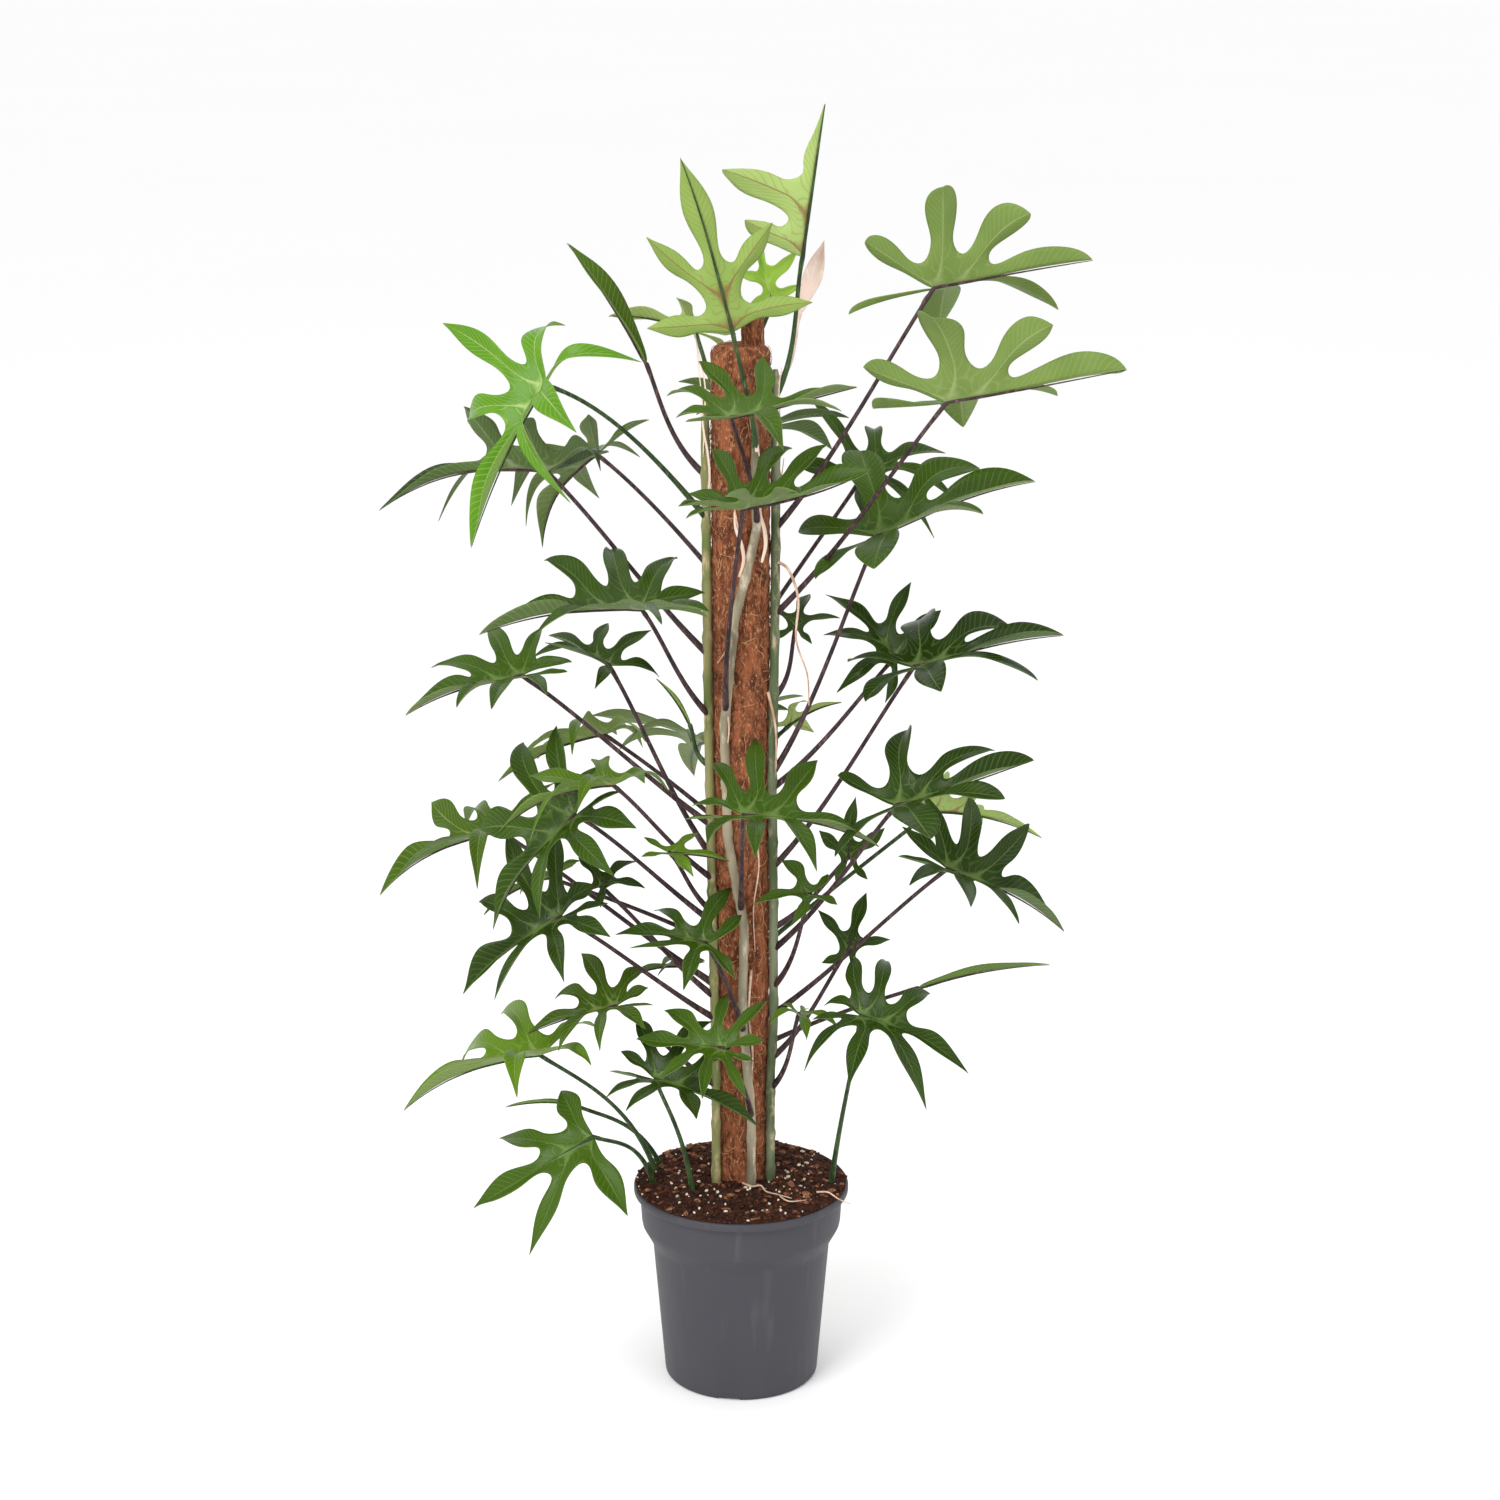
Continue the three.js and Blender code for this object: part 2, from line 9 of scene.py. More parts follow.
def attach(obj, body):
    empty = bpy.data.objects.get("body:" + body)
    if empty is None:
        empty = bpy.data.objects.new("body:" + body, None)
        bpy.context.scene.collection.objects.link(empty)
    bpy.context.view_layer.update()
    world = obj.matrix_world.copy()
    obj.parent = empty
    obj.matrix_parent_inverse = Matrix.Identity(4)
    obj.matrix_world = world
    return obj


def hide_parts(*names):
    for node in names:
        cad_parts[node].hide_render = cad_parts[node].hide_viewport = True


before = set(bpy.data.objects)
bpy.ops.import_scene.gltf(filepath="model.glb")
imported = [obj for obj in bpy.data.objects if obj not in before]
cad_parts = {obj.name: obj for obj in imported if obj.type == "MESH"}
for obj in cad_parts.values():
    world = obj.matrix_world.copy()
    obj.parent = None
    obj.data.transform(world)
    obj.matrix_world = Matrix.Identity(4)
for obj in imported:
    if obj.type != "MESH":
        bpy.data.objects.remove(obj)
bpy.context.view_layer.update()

bl_info = {
    "name": "Potted philodendron",
    "version": (1, 0, 0),
    "blender": (4, 5, 0),
    "location": "3D View > Sidebar > Philodendron",
    "description": "A lobed-leaf climber on a coir pole, in a round nursery pot with soil",
    "category": "Add Mesh",
}

MM = 0.001
BODY = "root"
SEED = 7

# ---- Sizes shared by the pieces, in millimetres --------------------------------------

POT_HEIGHT = 227
COLLAR_RADIUS = 113.5
LIP_RADIUS = 120
LIP_DEPTH = 9
COLLAR_BOTTOM = 180
COLLAR_FOOT_RADIUS = 111
SHOULDER_BOTTOM = 160
SHOULDER_FOOT_RADIUS = 99
BASE_RADIUS = 86
POT_FLOOR = 6.5
SOIL_TOP = 239
SOIL_RADIUS = 111.2
SOIL_EDGE = LIP_RADIUS - 2.5
SOIL_RIM_BAND = 4
SOIL_FOOT = 120
SOIL_RIM_RISE = 1.6
POLE_RADIUS = 31
POLE_TOP = 1168
STEM_RADIUS = 5.5
STEM_CENTRE = 37.1
STEM_DEPTH = 45
STALK_DEPTH = 35
STALK_PUSH = 16
SOIL_STALK_PUSH = 48
STALK_BENDS = (0.3, 0.72)
STALK_STEPS = 18
CORE_OFFSET = 13
FIBRE_RADIUS = 0.32

# ---- Growth ----------------------------------------------------------------------------

# How far a rib lies under the blade, as a share of the blade's length
RIB_SINK = 0.012
# The most a half of a blade leans off its form, in radians
LEAN_SPREAD = 0.18
# How firmly ribs and lobe tips hold their edge when the blade is rounded, 0 to 1
RIB_CREASE = 0.45
TIP_CREASE = 0.95
# Distance between side veins, in millimetres
VEIN_GAP = 7

# ---- Camera and air, in metres, degrees and millimetres of lens ------------------------

CAMERA_PLACE = (0.010, -3.3, 1.65)
CAMERA_PITCH = 15.6
CAMERA_LENS = 76.3
LIGHTS_AIM = (0, 0, 0.8)
AIR_STRENGTH = 1.03

# ---- Where things grow ---------------------------------------------------------------

# Each stem winds up the pole through (height from the pole's top, angle) stations.
STEMS = {
    "left": ((-800, -138), (-740, -140), (-548, -150), (-368, -160), (-168, -168), (-58, -176)),
    "front": ((-850, -72), (-728, -88), (-628, -84), (-528, -112), (-408, -118), (-288, -100),
              (-188, -62), (-78, -66)),
    "right": ((-800, -28), (-748, -14), (-608, -16), (-468, -24), (-308, -12), (-168, 0), (-28, 8)),
    "back": ((-800, 70), (-668, 95), (-368, 110), (-168, 120), (-48, 112)),
}

# One row for each leaf: the stem that carries it and the height where its stalk leaves it,
# or "soil" with the angle and the distance in from the soil's edge; the hub where stalk and
# blade meet; the midrib's direction and the way the upper face looks, both azimuth and
# elevation; the blade's length; its form; the stalk's arch; its age, 0 young to 2 old.
LEAVES = (
    # young leaves at the top
    ("front", -106, (-2, -10, 18), (180, 75), (100, 15), 185, "young", 0, 0),
    ("right", -56, (33, 5, 89), (0, 84), (140, 5), 156, "unfolding", 0, 0),
    ("back", -93, (18, 30, 34), (165, 74), (-80, 10), 78, "unfolding", 0, 0),
    ("left", -138, (-68, 21, -26), (180, 64), (0, 26), 148, "spear", -6, 1),
    ("back", -83, (-36, 82, -3), (180, 24), (90, 60), 92, "small", 0, 0),
    # upper front
    ("front", -183, (-7, -104, -54), (22, 8), (-90, 76), 134, "cupped", 4, 2),
    ("front", -388, (2, -111, -146), (-14, 14), (-90, 86), 138, "cupped", 8, 2),
    # left side, from the top down
    ("left", -183, (-171, -86, -27), (200, -52), (-140, 38), 178, "curled", 26, 0),
    ("left", -330, (-175, 24, -139), (176, 8), (95, 78), 172, "ragged", 6, 2),
    ("back", -268, (-138, 143, -146), (150, -32), (160, 55), 130, "ragged", 10, 2),
    ("left", -396, (-80, -80, -259), (190, 6), (-90, 84), 166, "broad", 4, 2),
    ("left", -518, (-201, -33, -346), (184, -6), (-110, 74), 128, "broad", 6, 2),
    ("left", -553, (-113, 32, -354), (142, 24), (-80, 66), 100, "ragged", 4, 2),
    ("left", -578, (-110, -94, -444), (182, -2), (-95, 87), 122, "ragged", 4, 1),
    ("back", -548, (-125, 76, -446), (178, -8), (95, 76), 122, "ragged", 4, 1),
    ("left", -628, (-147, -60, -490), (196, -36), (-125, 50), 145, "flat", 8, 2),
    ("left", -698, (-237, 53, -548), (182, -10), (-100, 72), 148, "ragged", 6, 1),
    ("back", -688, (-184, 52, -602), (180, -14), (95, 76), 80, "small", 4, 1),
    ("left", -738, (-164, -51, -608), (190, -24), (-105, 58), 132, "flat", 6, 2),
    ("left", -713, (-121, -13, -588), (60, 24), (-90, 60), 66, "small", 4, 2),
    ("left", -616, (-54, -56, -530), (-8, 4), (-90, 70), 62, "small", 4, 1),
    ("left", -452, (-25, 9, -416), (180, 66), (0, 24), 64, "spear", 0, 0),
    # front, below the middle
    ("front", -608, (2, -101, -472), (-6, 4), (-95, 72), 140, "flat", 6, 2),
    ("front", -748, (-25, -60, -628), (172, 14), (-95, 50), 98, "ragged", 6, 2),
    ("front", -848, (-13, -73, -742), (172, 8), (-90, 52), 98, "flat", 6, 2),
    # lower left
    ("left", -816, (-107, -36, -715), (180, -6), (-90, 78), 100, "flat", 6, 1),
    ("back", -768, (-40, 38, -706), (178, 4), (92, 72), 62, "small", 4, 2),
    ("soil", (167, 21), (-191, -24, 151), (180, -6), (-110, 72), 160, "ragged", 16, 1),
    ("soil", (185, 19), (-133, -84, 84), (194, -22), (-105, 52), 150, "hanging", 12, 2),
    ("soil", (154, 20), (-159, 20, 73), (178, 8), (90, 80), 72, "spear", 10, 1),
    ("soil", (220, 46), (-70, -67, 146), (-16, -6), (-95, 66), 116, "flat", 4, 2),
    # right side, from the top down
    ("right", -196, (170, 6, 58), (4, 12), (90, 52), 166, "upright", 0, 1),
    ("right", -288, (183, -34, -54), (0, 12), (90, 56), 186, "upright", 0, 1),
    ("back", -368, (112, 127, -170), (34, 26), (-88, 70), 118, "ragged", 0, 2),
    ("right", -462, (116, 29, -211), (0, 26), (-90, 68), 176, "upright", 0, 2),
    ("right", -378, (36, 30, -314), (78, 34), (-90, 50), 66, "small", 0, 2),
    ("right", -478, (138, 38, -347), (150, 48), (-90, 42), 104, "ragged", 0, 2),
    ("right", -568, (153, -29, -337), (0, 18), (-90, 74), 160, "upright", 0, 2),
    ("back", -488, (31, 33, -426), (20, 34), (90, 50), 60, "small", 0, 0),
    ("right", -663, (138, -98, -466), (0, 20), (-92, 70), 150, "upright", 0, 2),
    ("back", -698, (182, 78, -535), (0, 4), (92, 70), 122, "flat", 0, 0),
    ("right", -738, (192, -43, -557), (-4, -16), (-92, 68), 140, "broad", 4, 2),
    ("right", -638, (87, 9, -564), (90, 72), (-90, 14), 66, "small", 0, 2),
    ("right", -706, (54, -61, -574), (208, 12), (-90, 56), 66, "small", 0, 2),
    ("right", -788, (88, 16, -674), (62, 56), (-90, 30), 72, "small", 0, 2),
    ("back", -798, (168, 51, -732), (8, 18), (92, 70), 146, "spear", 4, 1),
    ("right", -823, (38, -26, -724), (-80, 10), (0, 86), 58, "small", 0, 1),
    ("soil", (-4, 13), (103, -71, 219), (-18, -6), (-95, 58), 122, "fan", -6, 2),
    # back
    ("back", -238, (16, 139, -118), (84, -12), (60, 74), 140, "flat", 8, 2),
    ("back", -608, (-33, 146, -478), (104, -14), (120, 74), 150, "flat", 8, 2),
)
SHEATH = ("right", -44, (36, 22, 26), (16, 70), (-90, 10), 80, "sheath", 0, 0)

# Blade forms. A blade rises from the midrib by fold and rolls over by sag; its tip hangs by
# droop, its lobes behind the stalk rise by perk, and each lobe hangs over by nod. The spine
# is the midrib up to the crown, where the end lobe starts. Sinuses are the notches between
# lobes, from the stalk forward. A lobe is (spine point, root, tip, half width).
PLAIN = {"lean": (0, 0), "edge": "pointed"}
DIVIDED = {
    **PLAIN, "spine": (0, 0.2), "crown": 0.42, "end_width": 0.1,
    "sinuses": ((-0.05, 0.015), (-0.13, 0.12), (0.03, 0.165), (0.2, 0.12), (0.415, 0.05)),
    "lobes": (
        (0, (-0.1, 0.075), (-0.42, 0.14), 0.055),
        (0, (-0.06, 0.155), (-0.31, 0.64), 0.078),
        (0, (0.11, 0.16), (0.14, 0.82), 0.09),
        (1, (0.3, 0.1), (0.68, 0.55), 0.088),
    ),
}
FORMS = {
    "flat": dict(DIVIDED, fold=0.62, sag=0.34, droop=0.3, perk=0.15, nod=0.2),
    "cupped": dict(DIVIDED, fold=0.6, sag=0.24, droop=-0.05, perk=0.5, nod=0.22),
    "upright": {
        "fold": 0.42, "sag": 0.16, "droop": 0.06, "perk": 0.3, "nod": 0.3,
        "spine": (0, 0.16), "crown": 0.36, "end_width": 0.1, "lean": (0, 0.12), "edge": "blunt",
        "sinuses": ((-0.05, 0.015), (-0.03, 0.13), (0.2, 0.12), (0.36, 0.05)),
        "lobes": (
            (0, (-0.1, 0.09), (-0.46, 0.36), 0.06),
            (0, (0.08, 0.16), (0.1, 0.72), 0.125),
            (1, (0.28, 0.1), (0.72, 0.46), 0.085),
        ),
    },
    "ragged": {
        "fold": 0.45, "sag": 0.24, "droop": 0.3, "perk": 0.1, "nod": 0.42,
        "spine": (0, 0.18), "crown": 0.38, "end_width": 0.1, "lean": (0.35, -0.1),
        "edge": "pointed",
        "sinuses": ((-0.05, 0.015), (-0.05, 0.12), (0.16, 0.12), (0.38, 0.05)),
        "lobes": (
            (0, (-0.1, 0.09), (-0.4, 0.5), 0.07),
            (0, (0.08, 0.15), (0.16, 0.8), 0.085),
            (1, (0.28, 0.1), (0.7, 0.52), 0.085),
        ),
    },
    "broad": dict(DIVIDED, fold=0.5, sag=0.24, droop=0.2, perk=0.1, nod=0.16, edge="wedge",
                  end_width=0.14),
    "fan": dict(DIVIDED, fold=0.45, sag=0.3, droop=0.4, perk=-0.2, nod=0.4, end_width=0.085),
    "hanging": {
        **PLAIN, "fold": 0.12, "sag": 0.5, "droop": 0.3, "perk": -0.5, "nod": 0.12,
        "spine": (0, 0.2), "crown": 0.42, "end_width": 0.105,
        "sinuses": ((0.0, 0.03), (0.16, 0.13), (0.42, 0.055)),
        "lobes": (
            (0, (0.07, 0.13), (0.02, 0.6), 0.095),
            (1, (0.28, 0.11), (0.72, 0.5), 0.095),
        ),
    },
    "curled": {
        **PLAIN, "fold": 0.75, "sag": 0.3, "droop": 0.3, "perk": 0.5, "nod": 0.75,
        "spine": (0, 0.15), "crown": 0.3, "end_width": 0.09,
        "sinuses": ((-0.05, 0.015), (-0.03, 0.11), (0.12, 0.1), (0.3, 0.045)),
        "lobes": (
            (0, (-0.07, 0.1), (-0.42, 0.36), 0.075),
            (0, (0.05, 0.14), (0.04, 0.66), 0.085),
            (1, (0.21, 0.1), (0.5, 0.52), 0.08),
        ),
    },
    "young": {
        **PLAIN, "fold": 0.25, "sag": 0.2, "droop": 0.1, "perk": 0, "nod": 0.06,
        "spine": (0, 0.2), "crown": 0.4, "end_width": 0.088,
        "sinuses": ((0.0, 0.035), (0.17, 0.075), (0.4, 0.045)),
        "lobes": (
            (0, (0.07, 0.1), (0.1, 0.47), 0.066),
            (1, (0.29, 0.085), (0.57, 0.36), 0.055),
        ),
    },
    "unfolding": {
        "fold": 0.95, "sag": 0.1, "droop": 0.05, "perk": 0, "nod": 0,
        "spine": (0, 0.26), "crown": 0.53, "end_width": 0.06, "lean": (0, 0), "edge": "wedge",
        "sinuses": ((0.0, 0.03), (0.25, 0.06), (0.53, 0.04)),
        "lobes": (
            (0, (0.1, 0.09), (0.16, 0.41), 0.06),
            (1, (0.38, 0.09), (0.6, 0.5), 0.085),
        ),
    },
    "small": {
        **PLAIN, "fold": 0.4, "sag": 0.35, "droop": 0.25, "perk": 0.3, "nod": 0.25,
        "spine": (0, 0.15), "crown": 0.3, "end_width": 0.11,
        "sinuses": ((-0.05, 0.015), (-0.02, 0.11), (0.29, 0.065)),
        "lobes": (
            (0, (-0.12, 0.08), (-0.46, 0.29), 0.075),
            (0, (0.13, 0.13), (0.39, 0.66), 0.1),
        ),
    },
    "spear": {
        **PLAIN, "fold": 0.3, "sag": 0.1, "droop": 0.2, "perk": 0, "nod": 0,
        "spine": (0,), "crown": 0.06, "end_width": 0.085,
        "sinuses": ((0.03, 0.04),), "lobes": (),
    },
}
FORMS["sheath"] = dict(FORMS["spear"], end_width=0.135)
# A lobe's edge as (share of its length, share of its half width)
LOBE_EDGES = {
    "pointed": ((0.15, 0.5), (0.34, 0.86), (0.53, 1.0), (0.73, 0.66), (0.88, 0.24)),
    "blunt": ((0.15, 0.5), (0.36, 0.86), (0.6, 1.05), (0.82, 0.8), (0.95, 0.34)),
    "wedge": ((0.15, 0.82), (0.34, 1.0), (0.55, 0.86), (0.76, 0.5), (0.91, 0.2)),
}

# Roots that cling to the pole, through (angle, height from the soil's top, stand-off)
CLINGING_ROOTS = (
    ((-112, 790, 1), (-104, 772, 3), (-96, 745, 2), (-84, 712, 2), (-78, 690, 1)),
    ((-128, 552, 1), (-116, 548, 7), (-108, 528, 9), (-112, 505, 7), (-124, 498, 2)),
    ((-96, 640, 1), (-104, 625, 4), (-120, 604, 4), (-136, 592, 3)),
    ((-60, 470, 2), (-66, 420, 5), (-58, 370, 6), (-66, 320, 3), (-62, 270, 2)),
    ((-70, 250, 2), (-76, 200, 4), (-68, 150, 3), (-74, 90, 3), (-72, 20, 2), (-74, -20, 1)),
    ((-38, 560, 6), (-30, 520, 12), (-24, 470, 10), (-30, 430, 7)),
)
# Roots that lie on the soil, through (x, y, stand-off)
SOIL_ROOTS = (
    ((2, -34, 3), (12, -42, 3), (22, -44, 3), (28, -56, 2), (40, -66, 3), (56, -66, 2)),
    ((40, -64, 2), (52, -74, 3), (66, -72, 2), (78, -62, 1)),
    ((84, -44, 2), (96, -50, 5), (108, -58, 5), (121, -60, 4)),
)
# Dry strips beside the stems, as (angle, bottom height, length, width, lean); heights are
# from the pole's top
DRY_STRIPS = (
    (-168, -118, 120, 6, 4), (-150, -160, 96, 5, 3), (-160, -70, 84, 5, 6), (-70, -152, 104, 5, 4),
    (-56, -226, 70, 5, 3), (-20, -118, 96, 5, 5), (12, -210, 88, 5, 4), (-92, -240, 70, 4, 3),
)

# ---- Helpers -------------------------------------------------------------------------


def linear(hex_value):
    """An sRGB hex colour as linear red, green, blue and alpha."""
    channels = [int(hex_value[i:i + 2], 16) / 255 for i in (1, 3, 5)]
    return (*[c / 12.92 if c <= 0.04045 else ((c + 0.055) / 1.055) ** 2.4 for c in channels], 1)


def direction(azimuth, elevation):
    a, e = math.radians(azimuth), math.radians(elevation)
    return Vector((math.cos(e) * math.cos(a), math.cos(e) * math.sin(a), math.sin(e)))


def on_axis(angle, radius, height):
    """A point in metres from an angle round the pole, a radius and a height in millimetres."""
    return direction(angle, 0) * radius * MM + Vector((0, 0, height * MM))


def add_node(tree, kind, settings=None, inputs=None):
    """Adds a node; an input's value is set, or linked when it is another node's socket."""
    added = tree.nodes.new(kind)
    for key, value in (settings or {}).items():
        setattr(added, key, value)
    for key, value in (inputs or {}).items():
        if isinstance(value, bpy.types.NodeSocket):
            tree.links.new(value, added.inputs[key])
        else:
            added.inputs[key].default_value = value
    return added


def new_material(name, roughness, specular=0.5):
    """A Principled material with its constants set; returns it, its tree and its shader."""
    material = bpy.data.materials.new(name)
    material.use_nodes = True
    shader = material.node_tree.nodes["Principled BSDF"]
    shader.inputs["Roughness"].default_value = roughness
    shader.inputs["Specular IOR Level"].default_value = specular
    return material, material.node_tree, shader


def smooth_curve(points, steps):
    """Points of a curve that passes through the given ones, steps to each span."""
    padded = [points[0] * 2 - points[1], *points, points[-1] * 2 - points[-2]]
    curve = []
    for i in range(1, len(padded) - 2):
        a, b, c, d = padded[i - 1:i + 3]
        for k in range(steps):
            t = k / steps
            curve.append(0.5 * ((2 * b) + (c - a) * t + (2 * a - 5 * b + 4 * c - d) * t * t
                                + (3 * b - a - 3 * c + d) * t ** 3))
    return [*curve, points[-1]]


def add_tube(bm, path, sections, sides, side_hint=Vector((0.13, 0.29, 0.95))):
    """A closed tube along a path; each section is (half width, half thickness) in metres."""
    tangents = [(path[min(i + 1, len(path) - 1)] - path[max(i - 1, 0)]).normalized()
                for i in range(len(path))]
    across = tangents[0].cross(side_hint)
    if across.length < 0.05:
        across = tangents[0].cross(Vector((1, 0, 0)))
    places = []
    for point, tangent, (wide, thick) in zip(path, tangents, sections):
        across = (across - tangent * across.dot(tangent)).normalized()
        basis = Matrix((across, tangent.cross(across), tangent)).transposed().to_4x4()
        places.append(Matrix.Translation(point) @ basis @ Matrix.Diagonal((wide, thick, 1, 1)))
    ring = bmesh.ops.create_circle(bm, cap_ends=True, radius=1, segments=sides, matrix=places[0])
    edges = list({e for v in ring["verts"] for e in v.link_edges})
    for before, after in zip(places, places[1:]):
        grown = bmesh.ops.extrude_edge_only(bm, edges=edges)["geom"]
        verts = [g for g in grown if isinstance(g, bmesh.types.BMVert)]
        edges = [g for g in grown if isinstance(g, bmesh.types.BMEdge)
                 and g.verts[0] in verts and g.verts[1] in verts]
        bmesh.ops.transform(bm, matrix=after @ before.inverted(), verts=verts)
    bmesh.ops.edgeloop_fill(bm, edges=edges)


def spun(bm, profile, sides):
    """A body of revolution about Z from (radius, height) points in millimetres."""
    verts = [bm.verts.new((radius * MM, 0, height * MM)) for radius, height in profile]
    edges = [bm.edges.new(pair) for pair in zip(verts, verts[1:])]
    bmesh.ops.spin(bm, geom=verts + edges, cent=(0, 0, 0), axis=(0, 0, 1), dvec=(0, 0, 0),
                   angle=math.tau, steps=sides, use_merge=True)
    bmesh.ops.remove_doubles(bm, verts=bm.verts, dist=1e-6)
    bmesh.ops.recalc_face_normals(bm, faces=bm.faces)


def add_piece(name, bm, materials, replaced=()):
    """Turns a bmesh into a piece that rides on the plant's one body."""
    mesh = bpy.data.meshes.new(name)
    bm.to_mesh(mesh)
    bm.free()
    mesh.shade_smooth()
    for material in materials:
        mesh.materials.append(material)
    made = bpy.data.objects.new(name, mesh)
    bpy.context.scene.collection.objects.link(made)
    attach(made, BODY)
    if replaced:
        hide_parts(*replaced)
    return made


def add_tube_piece(name, path, sections, sides, skin, slot, replaced=(), **hint):
    """Makes a tube a piece of its own."""
    bm = bmesh.new()
    add_tube(bm, path, sections, sides, **hint)
    bmesh.ops.recalc_face_normals(bm, faces=bm.faces)
    return add_piece(name, bm, [skin], replaced)


def stem_point(name, height):
    """The stem's centre at a height in millimetres above the ground."""
    above = [(POLE_TOP + h, a) for h, a in STEMS[name] if POLE_TOP + h > SOIL_TOP + 55]
    stations = [(SOIL_TOP - STEM_DEPTH, STEMS[name][0][1]), *above]
    for low, high in zip(stations, stations[1:]):
        if height <= high[0]:
            break
    angle = low[1] + (high[1] - low[1]) * (height - low[0]) / (high[0] - low[0])
    return on_axis(angle, STEM_CENTRE, height)


def soil_height(x, y):
    """The soil's surface in millimetres: a low heap with clods and crumbs."""
    radius = math.hypot(x, y)
    heap = SOIL_TOP - 1 - 8.5 * (radius / SOIL_RADIUS) ** 3
    place = Vector((x, y, 0))
    clods = noise.noise(place / 17) * 3.2 + noise.noise(place / 6.5) * 1.8
    return heap + clods * (0.55 if radius > SOIL_RADIUS - 8 else 1)


def rimmed_height(x, y, radius):
    """The soil's surface, led up to the pot's rim over the last few millimetres."""
    height = soil_height(x, y)
    if radius > SOIL_RADIUS - SOIL_RIM_BAND:
        band = SOIL_EDGE - SOIL_RADIUS + SOIL_RIM_BAND
        share = (radius - SOIL_RADIUS + SOIL_RIM_BAND) / band
        height += (POT_HEIGHT + SOIL_RIM_RISE - height) * min(share, 1) ** 1.5
    return height


# ---- Materials -----------------------------------------------------------------------


def noise_field(tree, place, scale, detail=2.0, roughness=0.5):
    """A noise texture's value; the scale is in cycles per metre."""
    return add_node(tree, "ShaderNodeTexNoise", inputs={
        "Vector": place, "Scale": scale, "Detail": detail, "Roughness": roughness}).outputs["Fac"]


def ramp(tree, value, low, high, to_low=0.0, to_high=1.0, kind="SMOOTHSTEP"):
    """A value brought from one range to another."""
    return add_node(tree, "ShaderNodeMapRange", {"interpolation_type": kind}, {
        "Value": value, "From Min": low, "From Max": high,
        "To Min": to_low, "To Max": to_high}).outputs["Result"]


def maths(tree, operation, *values):
    return add_node(tree, "ShaderNodeMath", {"operation": operation},
                    dict(enumerate(values))).outputs["Value"]


def blend(tree, share, low, high):
    """A mix of two colours, each a hex value or another node's socket."""
    ends = [linear(colour) if isinstance(colour, str) else colour for colour in (low, high)]
    return add_node(tree, "ShaderNodeMix", {"data_type": "RGBA"},
                    {0: share, 6: ends[0], 7: ends[1]}).outputs[2]


def finish_skin(tree, shader, colour, height, strength, depth):
    """Gives a shader its colour and its relief, with the relief's depth in metres."""
    tree.links.new(colour, shader.inputs["Base Color"])
    bump = add_node(tree, "ShaderNodeBump", inputs={
        "Strength": strength, "Distance": depth, "Height": height})
    tree.links.new(bump.outputs["Normal"], shader.inputs["Normal"])


def pot_plastic(colour):
    # Injection-moulded polypropylene, slate grey: satin, with soft scuffs and dust
    material, tree, shader = new_material("moulded_pp_slate", roughness=0.5, specular=0.22)
    place = add_node(tree, "ShaderNodeTexCoord").outputs["Object"]
    stretched = add_node(tree, "ShaderNodeMapping", inputs={"Vector": place, "Scale": (60, 60, 7)})
    scuffs = noise_field(tree, stretched.outputs["Vector"], 1.0, 5.0)
    tone = blend(tree, noise_field(tree, place, 9.0, 3.0), colour, "#454449")
    dusty = blend(tree, ramp(tree, scuffs, 0.56, 0.78, to_high=0.35), tone, "#5a595d")
    rough = ramp(tree, scuffs, 0.0, 1.0, 0.42, 0.62, "LINEAR")
    tree.links.new(rough, shader.inputs["Roughness"])
    # Fine moulding grain, about 0.8 mm across
    finish_skin(tree, shader, dusty, noise_field(tree, place, 1200.0), 0.12, 0.0003)
    return material


def mottled(name, colours, scale, rough, bump_depth, stretch=(1, 1, 1), bump_scale=None):
    """A rough natural surface in three tones, with grain of the given frequency per metre."""
    material, tree, shader = new_material(name, roughness=rough, specular=0.2)
    place = add_node(tree, "ShaderNodeTexCoord").outputs["Object"]
    place = add_node(tree, "ShaderNodeMapping",
                     inputs={"Vector": place, "Scale": stretch}).outputs["Vector"]
    coarse = noise_field(tree, place, scale * 0.3, 4.0)
    fine = noise_field(tree, place, scale, 6.0, 0.65)
    base = blend(tree, ramp(tree, coarse, 0.35, 0.65), colours[0], colours[1])
    topped = blend(tree, ramp(tree, fine, 0.5, 0.72), base, colours[2])
    grain = noise_field(tree, place, bump_scale or scale, 5.0, 0.7)
    finish_skin(tree, shader, topped, grain, 0.8, bump_depth)
    return material


